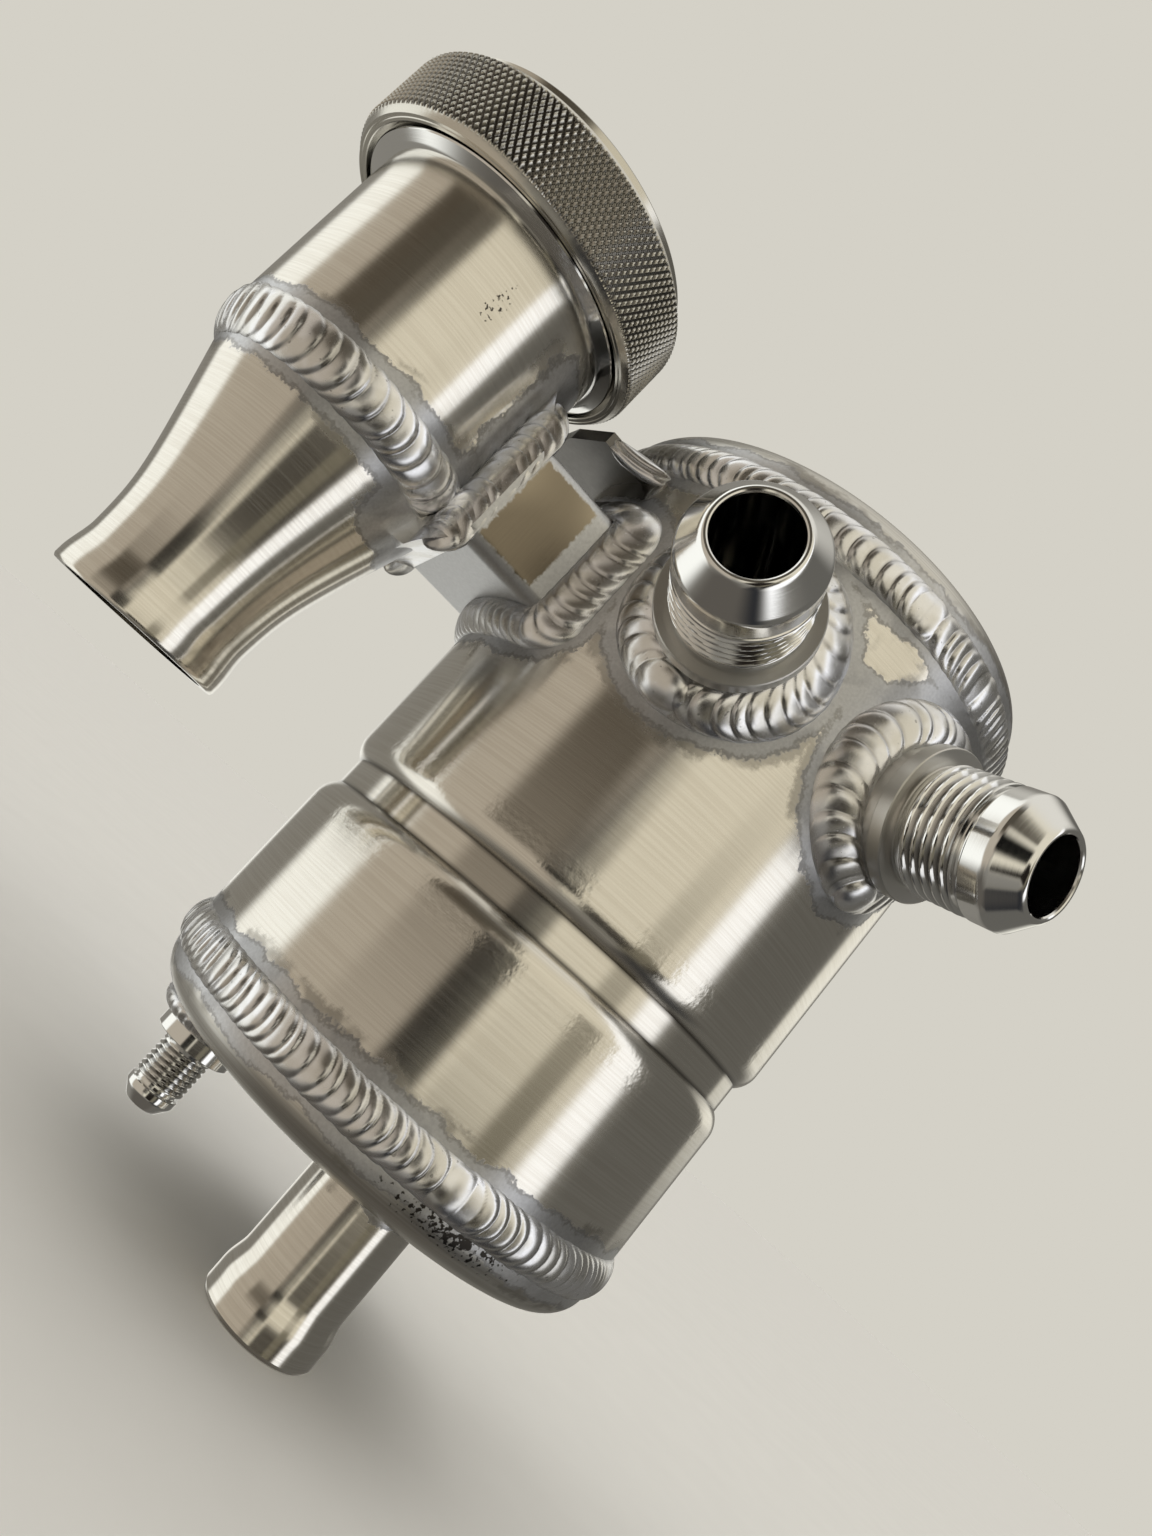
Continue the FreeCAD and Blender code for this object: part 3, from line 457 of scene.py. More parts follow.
def milled_aluminium(name, along, up):
    """Milled bar: a brushed middle with a brown cast, framed by metal that the welds' heat has frosted.

    along and up are the ends of the middle in X and in Z, in millimetres.
    """
    material, tree, shader, spot = new_material(name)
    parts = add(tree, "ShaderNodeSeparateXYZ", None, {"Vector": spot}).outputs
    ragged = product(tree, swing(tree, spot, 0.8, 4.0), 1.8 * MM)
    inside = []
    for part, (low, high) in (("X", along), ("Z", up)):
        reach = calc(tree, "ABSOLUTE", calc(tree, "SUBTRACT", parts[part], (low + high) / 2 * MM))
        inside.append(calc(tree, "SUBTRACT", (high - low) / 2 * MM, calc(tree, "ADD", reach, ragged)))
    frost = step_between(tree, calc(tree, "MINIMUM", *inside), -0.2 * MM, 0.5 * MM, 1.0, 0.0)
    lines = speckle(tree, spot, 2.4, 4.0, along=0.05)
    cloud = step_between(tree, speckle(tree, spot, 0.055, 0.0), 0.36, 0.64)
    metal = tint(tree, blend(tree, cloud, "#7D7466", "#B4A996"), "#958B7A", lines, 0.5)
    frosted = blend(tree, speckle(tree, spot, 1.6, 4.0), "#BABBBD", "#DDDEE0")
    height = calc(tree, "ADD", lines, speckle(tree, spot, 1.6, 3.0))
    dress(tree, shader, blend(tree, frost, metal, frosted), calc(tree, "MULTIPLY_ADD", frost, 0.14, 0.28),
          bump=(height, 0.25, 0.06))
    return material


def plain_finish(name, light, dark, rough, metallic, per_mm):
    """A surface with an even, faint grain, for sheet metal, rubber and the floor."""
    material, tree, shader, spot = new_material(name)
    grain = speckle(tree, spot, per_mm, 4.0)
    level = calc(tree, "MULTIPLY_ADD", grain, 0.1, rough - 0.05)
    dress(tree, shader, blend(tree, grain, light, dark), level, metallic)
    return material


TUBE = brushed_aluminium("aluminium_tube_brushed", "#E8E5DE", "#DFDBD3", 0.18, 0.86)
SPUN = brushed_aluminium("aluminium_end_turned", "#DCDAD5", "#CBC8C1", 0.30, 0.5)
WELD = weld_metal("aluminium_weld_bead")
POLISHED = turned_aluminium("aluminium_fitting_polished", "#EDEDEC", 0.10)
KNURLED = turned_aluminium("aluminium_cap_knurled", "#D6D3CB", 0.20)
BAR = milled_aluminium("aluminium_bar_milled", (-73.3, -58.8), (BLOCK_LOW[2] + 2.4, BLOCK_HIGH[2] - 2.4))
# Aluminium sheet with a faint grain; its dark grey is the tab's shade painted into its colour.
SHADED_SHEET = plain_finish("aluminium_sheet_painted_shade", "#73716E", "#676562", 0.32, 1.0, 0.9)
RUBBER = plain_finish("nitrile_rubber_moulded", "#141414", "#1E1D1C", 0.6, 0.0, 2.0)
PAPER = plain_finish("floor_pale_paper", "#E6E5E2", "#E0DFDC", 0.85, 0.0, 0.05)


# Distance from the weld toes, which the frosted band follows


def block_distance(y, z):
    """Distance outside the block's rounded section, seen along X."""
    beside = np.abs(y) - (BLOCK_HALF - BLOCK_ROUNDING)
    above = np.abs(z - BLOCK_MIDDLE) - (BLOCK_HALF_UP - BLOCK_ROUNDING)
    return np.hypot(np.maximum(beside, 0), np.maximum(above, 0)) - BLOCK_ROUNDING


def port_distance(points, port):
    """Distance of points from the axis of a port."""
    azimuth, height = PORTS[port]
    sideways = -points[..., 0] * math.sin(azimuth) + points[..., 1] * math.cos(azimuth)
    outward = points[..., 0] * math.cos(azimuth) + points[..., 1] * math.sin(azimuth)
    return np.where(outward > 0, np.hypot(sideways, points[..., 2] - height), FAR)


def pipe_distance(points, at):
    """Distance of points from the vertical axis of a pipe."""
    return np.hypot(points[..., 0] - at[0], points[..., 1] - at[1])


def can_toe(points):
    """Distance from the nearest weld toe for points of the can."""
    z = points[..., 2]
    gaps = [np.abs(z - joint) - RING_HALF for joint in (LOWER_JOINT, UPPER_JOINT)]
    gaps += [port_distance(points, port) - PORT_WELD_OUTER - 0.4 for port in PORTS]
    gaps.append(np.where(points[..., 0] < 0, block_distance(points[..., 1], z) - BLOCK_WELD_LEG, FAR))
    return np.minimum.reduce(gaps)


def filler_toe(points):
    """Distance from the nearest weld toe for points of the filler."""
    z = points[..., 2]
    ring = np.abs(z - CONE_JOINT) - CONE_BEAD_HALF
    beyond = np.maximum(np.maximum(BEAD_LOW - z, z - BEAD_HIGH), 0)
    beside = np.maximum(np.abs(points[..., 1]) - BEAD_TOE_NORTH, 0)
    link = np.where(points[..., 0] > FILLER_X, np.hypot(beyond, beside) - 2.6, FAR)
    return np.minimum(ring, link)


def stain(points, x, azimuth, height, around, along, strength):
    """A smudge on the wall about the vertical axis at x: strength in its middle, falling to nothing at its rim."""
    turned = np.arctan2(points[:, 1], points[:, 0] - x) - math.radians(azimuth)
    sideways = np.sin(turned) * np.hypot(points[:, 0] - x, points[:, 1])
    gap = np.hypot(sideways / around, (points[:, 2] - height) / along)
    return np.where(np.cos(turned) > 0, strength * (1 - smooth_step(gap, 0.5, 1.0)), 0.0)


# Brushed walls


def make_wall(name, node, outer, thickness, angles, marks, radius, x=0.0, hole=None):
    """A tube's wall from its outer rows; marks gives the values that the material reads, for the wall's points."""
    points, faces = double_wall(outer, outer - [thickness, 0], angles, x, hole)
    fields = marks(points)
    fields["toe"][len(points) // 2:] = FAR
    make_piece(name, points, faces, TUBE, node, fields=fields,
               uv=surface_uv(outer, radius, angles, skins=2))


def groove_radius(z):
    """Tube radius by height: a flat groove floor, and shoulders that leave the wall along an arc."""
    run = GROOVE_HALF - GROOVE_FLOOR_HALF
    bend = (run * run + GROOVE_DEPTH * GROOVE_DEPTH) / (2 * GROOVE_DEPTH)
    into = np.clip(GROOVE_HALF - np.abs(z), 0, run)
    return CAN_R - (bend - np.sqrt(bend * bend - into * into))


def make_can():
    """The can's tube: radius groove_radius(z), with a finer step in and beside the groove."""
    edge = GROOVE_HALF + 6
    groove = [[-edge], [-GROOVE_HALF], [-GROOVE_FLOOR_HALF], [GROOVE_FLOOR_HALF], [GROOVE_HALF], [edge]]
    z = np.concatenate([refined([[LOWER_JOINT], [-edge]], 1.5)[:-1, 0], refined(groove, 0.4)[:-1, 0],
                        refined([[edge], [UPPER_JOINT]], 1.3)[:, 0]])

    def in_port(points):
        return np.minimum(*[port_distance(points, port) for port in PORTS]) < PORT_HOLE

    def marks(points):
        level = np.abs(points[:, 2])
        # The third value paints shade: a dark line along the corners of the groove floor.
        return {"toe": can_toe(points) - stain(points, 0.0, *HEAT_STAIN),
                "peel": smooth_step(level, 4.5, 7.0) * (1 - smooth_step(level, 10.0, 14.0)),
                "crease": np.exp(-((level - GROOVE_FLOOR_HALF) / 0.45) ** 2)}

    make_wall("can_tube", "can_body", stacked(groove_radius(z), z), WALL, ring_angles(288), marks, CAN_R,
              hole=in_port)


def end_profile(radius, joint, way, rounding):
    """Rows of (radius, height) from the joint over the rounded shoulder to the middle of the flat face."""
    turn = np.linspace(0, math.pi / 2, 18)
    arc = stacked(radius - rounding + rounding * np.cos(turn),
                  joint + way * (CAP_LAND + rounding * np.sin(turn)))
    flat = refined([arc[-1], [0.0, arc[-1, 1]]], 2.0)[1:]
    return np.vstack([refined([[radius, joint], arc[0]], 1.0)[:-1], arc, flat])


def make_end(name, node, joint, way):
    """A turned end: its outer rows and the same rows a wall's thickness further in."""
    outer = end_profile(CAN_R, joint, way, CAP_ROUNDING)
    inner = end_profile(CAN_R - WALL, joint, way, CAP_ROUNDING - WALL)
    share = np.linspace(0, 1, len(outer))
    inner = np.stack([np.interp(share, np.linspace(0, 1, len(inner)), inner[:, side]) for side in (0, 1)], -1)
    angles = ring_angles(240)

    def in_pipe(points):
        return ((pipe_distance(points, SPIGOT_AT) < SPIGOT_R - HOLE_INSET)
                | (pipe_distance(points, DRAIN_AT) < DRAIN_RELIEF_R - HOLE_INSET))

    points, faces = double_wall(outer, inner, angles, hole=in_pipe if way < 0 else None)
    half = len(points) // 2
    toe = np.repeat(run_length(outer) - RING_HALF, len(angles))
    if way < 0:
        for at, reach in ((SPIGOT_AT, SPIGOT_R + SMALL_LEG), (DRAIN_AT, DRAIN_BASE_R + DRAIN_LEG)):
            toe = np.minimum(toe, pipe_distance(points[:half], at) - reach)
    toe = np.concatenate([toe, np.full(half, FAR)])
    azimuth = np.degrees(np.arctan2(points[:, 1], points[:, 0]))
    soot = np.exp(-((azimuth + 88) / 11) ** 2) * smooth_step(-np.abs(toe - 1.2), -4.0, -0.5) * 1.5 * (way < 0)
    make_piece(name, points, faces, SPUN, node, fields={"toe": toe, "soot": soot},
               uv=surface_uv(outer, CAN_R, angles, skins=2))


def make_filler():
    """The filler's tube and cone: straight, then narrowing along a smooth foot to the hose end with its lip."""
    angles = ring_angles(200)

    def barrel_marks(points):
        return {"toe": filler_toe(points), "soot": stain(points, FILLER_X, *BARREL_PITS)}

    def cone_marks(points):
        return {"toe": filler_toe(points)}

    outer = stacked(FILLER_R, np.linspace(CONE_JOINT, TUBE_TOP, 36))
    make_wall("filler_barrel", "filler_tube", outer, WALL, angles, barrel_marks, FILLER_R, FILLER_X)

    foot, mouth, bend, lip_top = CONE_END + CONE_STRAIGHT, FILLER_R - CONE_MOUTH_STEP, 8.0, CONE_END + 11
    slope = (mouth - CONE_END_R) / (CONE_JOINT - CONE_MOUTH_STEP - foot)
    z = np.concatenate([np.linspace(CONE_END, lip_top, 34)[:-1], np.linspace(lip_top, CONE_JOINT, 64)])
    rise = slope * (np.sqrt((z - foot) ** 2 + bend ** 2) + (z - foot)) / 2 - slope * 0.5
    radius = np.minimum(CONE_END_R + np.maximum(rise, 0), mouth + 0.4)
    radius = radius + CONE_LIP * (1 - smooth_step(z, CONE_END + 2.0, CONE_END + 10.0))
    radius[:3] -= np.array([0.35, 0.12, 0.0])
    make_wall("filler_outlet_cone", "filler_cone", stacked(radius, z), CONE_WALL, angles, cone_marks, FILLER_R,
              FILLER_X)


# Weld beads


def dime_edges(length, pitch, random, stops):
    """Where each ripple of a bead starts: even steps that vary by hand, with longer end craters at the stops."""
    count = max(3, round(length / pitch))
    steps = np.clip(1 + 0.16 * random.standard_normal(count), 0.6, 1.5)
    for stop, times in stops:
        steps[int(stop * count) % count] = times
    return np.concatenate([[0], np.cumsum(steps)]) * length / steps.sum(), steps


def lay_bead(name, path, length, width, crown, pitch, seed, node=None, closed=True, bow=0.8, ripple=0.42,
             stops=(), drop=0.35, step=0.26, across_count=26, tip=None, travel=1):
    """A bead of overlapping ripples along a path.

    path(s, v) gives, for shares s along the bead and v from -1 to 1 across it, the points of the seam's face and
    the outward direction there. The bead rises by crown * (1 - |v|^2.4) from that face. Each ripple is a scale
    that climbs fast from its crease and falls away slowly, sin(pi * f^0.6), and its crease is an arc that bows
    back against the torch's travel, which is 1 or -1. Where the torch stopped, a round drop stands higher than the
    ripples by drop, (1 - gap^2)^0.55. An open bead shrinks to a rounded end over the length tip.
    """
    random = np.random.default_rng(seed)
    edges, steps = dime_edges(length, pitch, random, stops)
    count = len(steps)
    lengthwise = max(24, round(length / step))
    share = np.arange(lengthwise) / lengthwise if closed else np.linspace(0, 1, lengthwise)
    s, v = np.meshgrid(share, np.sin(np.linspace(-math.pi / 2, math.pi / 2, across_count)), indexing="ij")

    def wander(amount):
        return np.interp(s * length, edges, np.append(amount * random.standard_normal(count), 0), period=length)

    arc = bow * width * (np.sqrt(1 - np.minimum(np.abs(v + wander(0.05)), 0.995) ** 2) - 0.5)
    travelled = (s if travel > 0 else 1 - s) * length
    way = (travelled + arc) % length if closed else np.clip(travelled + arc, 0, length * 0.99999)
    number = np.clip(np.searchsorted(edges, way, side="right") - 1, 0, count - 1)
    part = (way - edges[number]) / (edges[number + 1] - edges[number])
    plain = 1 - np.clip((steps[number] - 1.2) * 2, 0, 1)
    scale = np.sin(math.pi * part ** 0.6)
    depth = ripple * (0.85 + 0.3 * random.random(count))[number]
    body = 1 - np.abs(v) ** 2.4
    lift = (crown - depth) * body + depth * scale * plain * body ** 0.7
    for stop, times in stops:
        at = int(stop * count) % count
        away = (travelled - (edges[at] + edges[at + 1]) / 2 + length / 2) % length - length / 2
        gap = np.hypot(away / min(times * pitch * 0.6, width * 1.3), v)
        lift = np.maximum(lift, (crown - depth + drop) * np.clip(1 - gap ** 2, 0, 1) ** 0.55)

    taper = np.ones(lengthwise)
    if tip:
        reach = np.minimum(share, 1 - share) * length
        taper = np.sqrt(np.clip(1 - (1 - np.clip(reach / tip, 0, 1)) ** 2, 0, 1))
    scallop = 1 + 0.035 * (scale - 0.6) + 0.02 * wander(1.0)
    sideways = np.clip(v * np.where(np.abs(v) > 0.7, scallop, 1) * taper[:, None], -1.06, 1.06)
    face, outward = path(s, sideways)
    top = face + outward * (lift * taper[:, None])[..., None]
    s_low, v_low = np.meshgrid(share, np.array([0.94, 0.0, -0.94]), indexing="ij")
    face_low, outward_low = path(s_low, v_low * taper[:, None])
    under = face_low - outward_low * (0.9 * np.maximum(taper, 0.05))[:, None, None]
    ring = np.concatenate([top, under], 1)
    columns = ring.shape[1]
    faces = grid_faces(lengthwise, columns, close_rows=closed).tolist()
    if not closed:
        last = (lengthwise - 1) * columns
        faces += [list(range(columns)), list(range(last, last + columns))[::-1]]
    # Painted shade: darkest at each ripple's crease, where one ripple folds under the next.
    crease = np.clip(1 - np.minimum(part * 4, (1 - part) * 6), 0, 1) * body ** 0.6 * plain
    edge = smooth_step(np.abs(v), 0.86, 1.0)
    fields = {key: np.pad(values, ((0, 0), (0, columns - across_count))).ravel()
              for key, values in (("crease", crease), ("edge", edge))}
    make_piece(name, ring, faces, WELD, node, fields=fields, sharp=75.0)


def ring_path(low, high, x=0.0, y=0.0):
    """A bead round a vertical axis, from one toe to the other, each (radius, height)."""
    low, high = np.array(low, float), np.array(high, float)
    out = unit(np.array([high[1] - low[1], low[0] - high[0]]))

    def path(s, v):
        spot = across(low, high, v)
        return about_z(spot[..., 0], spot[..., 1], s * TAU, x, y), about_z(out[0], out[1], s * TAU)

    return path


def port_path(port):
    """The fillet round a port: from the root's side down to the saddle line on the can."""
    azimuth = PORTS[port][0]
    port_axis = np.array([math.cos(azimuth), math.sin(azimuth), 0.0])

    def point_at(radius, angle, crest):
        sideways = radius * np.cos(angle)
        return port_point(port, np.sqrt((CAN_R + crest) ** 2 - sideways ** 2), sideways, radius * np.sin(angle))

    def path(s, v):
        angle = s * TAU
        inner = point_at(PORT_ROOT, angle, PORT_WELD_HEIGHT - 0.5)
        outer = point_at(PORT_WELD_OUTER, angle, -0.05)
        ray = stacked(-np.cos(angle) * port_axis[1], np.cos(angle) * port_axis[0], np.sin(angle))
        fall = -((outer - inner) * port_axis).sum(-1, keepdims=True)
        spread = ((outer - inner) * ray).sum(-1, keepdims=True)
        return across(inner, outer, v), unit(ray * fall + port_axis * spread)

    return path


def bar_outline(s, grow):
    """The block's section grown all round: points and outward direction for shares s of it, and its length."""
    core = np.array([BLOCK_HALF, BLOCK_HALF_UP]) - BLOCK_ROUNDING
    flat, tall = core
    corner = math.pi / 2 * (BLOCK_ROUNDING + BLOCK_WELD_LEG / 2)
    lengths = np.array([tall, corner, 2 * flat, corner, 2 * tall, corner, 2 * flat, corner, tall])
    is_corner = np.array([0, 1] * 4 + [0])
    turn = np.array([0, 0, 1, 1, 2, 2, 3, 3, 4]) * math.pi / 2
    stops = np.array([[1, 0], [1, 1], [1, 1], [-1, 1], [-1, 1], [-1, -1], [-1, -1], [1, -1], [1, -1], [1, 0]])
    ends = np.concatenate([[0], np.cumsum(lengths)])
    way = (s % 1.0) * ends[-1]
    leg = np.clip(np.searchsorted(ends, way, side="right") - 1, 0, 8)
    part = (way - ends[leg]) / lengths[leg]
    angle = turn[leg] + is_corner[leg] * part * math.pi / 2
    direction = stacked(np.cos(angle), np.sin(angle))
    spot = (stops[leg] + (stops[leg + 1] - stops[leg]) * part[..., None]) * core
    spot = spot + direction * (BLOCK_ROUNDING + grow)[..., None]
    return spot[..., 0], spot[..., 1] + BLOCK_MIDDLE, direction, ends[-1]


def block_path(s, v):
    """The fillet round the block on the can."""
    y, z, direction, _ = bar_outline(s, (v + 1) / 2 * BLOCK_WELD_LEG)
    crest = (1 - (v + 1) / 2) * (BLOCK_WELD_HEIGHT - 0.6)
    x = -np.sqrt((CAN_R + crest) ** 2 - y ** 2)
    sideways = stacked(0.0, direction[..., 0], direction[..., 1])
    return stacked(x, y, z), unit(unit(stacked(x, y, 0.0)) * BLOCK_WELD_LEG + sideways * BLOCK_WELD_HEIGHT)


def link_path(side):
    """The bead between the block's square end and the round filler, up one side."""
    lap = np.array([BLOCK_LOW[0] + BEAD_LAP, side * (BLOCK_HALF + 0.05)])
    toe = np.array([FILLER_X + math.sqrt(FILLER_R ** 2 - BEAD_TOE_NORTH ** 2), side * BEAD_TOE_NORTH])

    def path(s, v):
        z = LINK_START + s * LINK_RUN
        over = np.maximum(np.maximum(BLOCK_LOW[2] - z, z - BLOCK_HIGH[2]), 0) / (BEAD_HIGH - BLOCK_HIGH[2])
        near = lap + (toe - lap) * (0.75 * over ** 2)[..., None]
        spot, along = across(toe, near, v), np.abs(near - toe)
        return stacked(spot[..., 0], spot[..., 1], z), unit(stacked(-along[..., 1], side * along[..., 0], 0.0))

    return path


def tab_path(s, v):
    """The short fillet in the corner between the tab's front edge and the can, sagging by sag * (1 - v^2)."""
    on_tab, on_can, inward = np.array([-65.2, -15.0]), np.array([-52.6, -22.4]), np.array([0.5, 0.86])
    low, high, sag = TAB_LOW[2] - 1.2, TAB_HIGH[2] + 0.6, 1.6
    spot = across(on_tab, on_can, v) + sag * (1 - v ** 2)[..., None] * inward
    points = stacked(spot[..., 0], spot[..., 1], low + s * (high - low))
    return points, np.broadcast_to([-inward[0], -inward[1], 0.0], points.shape)


def make_welds():
    """Every bead, from the joints of the can to the small fillets round the pipes."""
    for name, node, joint, seed, stops, travel in (
        ("top_ring_bead", "body_top_weld", UPPER_JOINT, 3, ((0.81, 2.4), (0.755, 2.2)), 1),
        ("bottom_ring_bead", "body_bottom_weld", LOWER_JOINT, 5, ((0.265, 2.8), (0.8, 2.2)), -1),
    ):
        path = ring_path((CAN_R, joint - RING_HALF), (CAN_R, joint + RING_HALF))
        lay_bead(name, path, TAU * CAN_R, RING_HALF, RING_CROWN, 3.1, seed, node, stops=stops, travel=travel)

    foot = CONE_END + CONE_STRAIGHT
    slope = (FILLER_R - CONE_MOUTH_STEP - CONE_END_R) / (CONE_JOINT - CONE_MOUTH_STEP - foot)
    cone_toe = CONE_END_R + slope * (CONE_JOINT - CONE_BEAD_HALF - foot)
    path = ring_path((cone_toe, CONE_JOINT - CONE_BEAD_HALF), (FILLER_R, CONE_JOINT + CONE_BEAD_HALF), FILLER_X)
    lay_bead("cone_ring_bead", path, TAU * FILLER_R, CONE_BEAD_HALF, RING_CROWN, 3.5, 8, "filler_cone_weld",
             travel=-1)

    port_length = TAU * (PORT_ROOT + PORT_WELD_OUTER) / 2
    for port, seed, stops in (("front", 11, ((0.70, 2.7),)), ("side", 17, ((0.78, 2.4),))):
        lay_bead(f"{port}_port_bead", port_path(port), port_length, 4.9, 1.5, 4.0, seed, f"{port}_port_weld",
                 stops=stops, drop=1.3, across_count=30, ripple=0.36)
    block_length = bar_outline(np.zeros(1), np.zeros(1))[3]
    lay_bead("block_bead", block_path, block_length, 4.8, 1.4, 3.6, 23, "link_weld_can", stops=((0.63, 2.4),),
             drop=0.8, ripple=0.34, travel=-1)
    for name, side, seed in (("link_bead_front", -1, 30), ("link_bead_rear", 1, 32)):
        lay_bead(name, link_path(side), LINK_RUN, 5.3, 1.9, 3.9, seed, closed=False, tip=6.0, ripple=0.46,
                 travel=-1)
    lay_bead("tab_bead", tab_path, 5.8, 3.0, 1.9, 2.6, 37, "mount_tab_weld", closed=False, tip=1.8, step=0.2,
             ripple=0.25)

    path = ring_path((SPIGOT_R, CAN_BOTTOM - SMALL_LEG), (SPIGOT_R + SMALL_LEG, CAN_BOTTOM), *SPIGOT_AT[:2])
    lay_bead("spigot_bead", path, TAU * 15, 3.0, 1.2, 2.6, 41, "hose_spigot_weld", step=0.3, across_count=18,
             ripple=0.3)
    path = ring_path((DRAIN_BASE_R, CAN_BOTTOM - DRAIN_LEG), (DRAIN_BASE_R + DRAIN_LEG, CAN_BOTTOM), *DRAIN_AT[:2])
    lay_bead("drain_bead", path, TAU * 10, 2.2, 0.9, 2.2, 43, "drain_fitting_weld", step=0.3, across_count=16,
             ripple=0.25)


# Turned pieces


def thread_depth(along, angle, start, finish, pitch, depth):
    """Depth of a 60 degree thread: a triangle wave along the axis that shifts by one pitch a turn and runs out."""
    phase = (along / pitch - angle / TAU) % 1.0
    wave = np.clip(np.abs(2 * phase - 1) * 1.35 - 0.12, 0, 1)
    fade = pitch * 0.6
    runout = smooth_step(along, start, start + fade) * (1 - smooth_step(along, finish - fade, finish))
    return depth * (1 - wave) * runout


def turned_piece(name, node, outline, angles, place_points, thread, satin=(0.0, 0.0, 0.0), bevel=0.22,
                 thread_step=0.16):
    """A ring turned from a closed outline of (radius, along) corners, with bevelled edges.

    thread is (start, finish, radius, pitch, depth): points of the outline on that radius and stretch get a
    thread. satin is (start, finish, least radius) of the stretch that keeps the tool's feed marks.
    """
    start, finish, crest, pitch, depth = thread

    def on_crest(rows, margin):
        in_stretch = (rows[:, 1] > start - margin) & (rows[:, 1] < finish + margin)
        return (np.abs(rows[:, 0] - crest) < 1e-6) & in_stretch

    corners = bevelled(outline, bevel)
    sides = np.stack([corners, np.roll(corners, -1, 0)], 1)
    rows = np.vstack([refined(side, thread_step if on_crest(side, 0.5).all() else 0.9)[:-1] for side in sides])
    radius, along = [np.repeat(rows[:, [part]], len(angles), 1) for part in (0, 1)]
    cut = thread_depth(along, angles, start, finish, pitch, depth) * on_crest(rows, 0.01)[:, None]
    radius = radius - cut
    # Painted shade, darkest in the thread's roots.
    dark = np.clip(cut / depth, 0, 1) ** 2 * 0.7
    dull = (along > satin[0]) & (along < satin[1]) & (radius > satin[2])
    make_piece(name, place_points(radius, along, angles), grid_faces(len(rows), len(angles), close_rows=True),
               POLISHED, node, fields={"satin": dull.ravel(), "groove": dark.ravel()},
               uv=surface_uv(rows, rows[:, 0].max(), angles), sharp=28.0)


def upright(x, y):
    """A function that places (radius, along, angle) about a vertical axis."""
    return lambda radius, along, angles: about_z(radius, along, angles, x, y)


def make_port(port, node):
    """A male flare fitting: root, flange, thread, undercut, land, coned seat and lip, coped to the can."""
    flange, flange_end, thread_from, thread_to, land, nose, tip = 63.2, 66.3, 68.4, 79.6, 81.0, 85.9, 91.7
    flange_r, relief_r, seat_r, lip_r = 15.8, 12.1, 8.95, 8.3
    outline = [
        (PORT_BORE, 0.0), (PORT_ROOT, 0.0), (PORT_ROOT, flange), (flange_r, flange), (flange_r, flange_end),
        (relief_r, flange_end), (relief_r, thread_from - 0.8), (PORT_THREAD_R, thread_from),
        (PORT_THREAD_R, thread_to), (relief_r, thread_to + 0.4), (relief_r, land - 0.3), (PORT_THREAD_R, land),
        (PORT_THREAD_R, nose), (seat_r, tip - 0.3), (lip_r, tip), (PORT_BORE, tip - 0.4),
    ]

    def place_points(radius, along, angles):
        sideways = radius * np.cos(angles)
        saddle = np.sqrt(CAN_R ** 2 - sideways ** 2) - 0.4
        out = np.where(along < 1.0, saddle, np.maximum(along, saddle))
        return port_point(port, out, sideways, radius * np.sin(angles))

    turned_piece(f"{port}_flare_fitting", node, outline, ring_angles(200), place_points,
                 (thread_from, thread_to, PORT_THREAD_R, PORT_PITCH, 1.15), satin=(50.0, 67.2, 11.0),
                 thread_step=0.1)


def make_neck():
    """The neck: a sleeve in the tube, a collar with a coned foot and a barrel with a 3 mm thread."""
    collar, foot, relief_r = TUBE_TOP + COLLAR, TUBE_TOP + 0.01, NECK_THREAD_R - 0.9
    outline = [
        (NECK_BORE, TUBE_TOP - NECK_SLEEVE), (FILLER_R - WALL, TUBE_TOP - NECK_SLEEVE), (FILLER_R - WALL, foot),
        (FILLER_R + 0.9, foot), (COLLAR_R, TUBE_TOP + 1.5), (COLLAR_R, collar), (relief_r, collar),
        (relief_r, collar + 0.8), (NECK_THREAD_R, collar + 1.2), (NECK_THREAD_R, NECK_TOP), (NECK_BORE, NECK_TOP),
    ]
    turned_piece("filler_neck_ring", "filler_neck", outline, ring_angles(220), upright(FILLER_X, 0.0),
                 (collar + 1.2, NECK_TOP, NECK_THREAD_R, NECK_PITCH, 0.85), thread_step=0.22)


def knurl_height(along, around):
    """Diamond knurl: two sets of V grooves cross and leave long pyramids with small flat tops, 0 to 1."""
    first, second = along / KNURL_ALONG + around / KNURL_AROUND, along / KNURL_ALONG - around / KNURL_AROUND
    gap = np.minimum(*[np.abs((line + 0.5) % 1.0 - 0.5) for line in (first, second)])
    return np.clip(gap * 3, 0, 1)


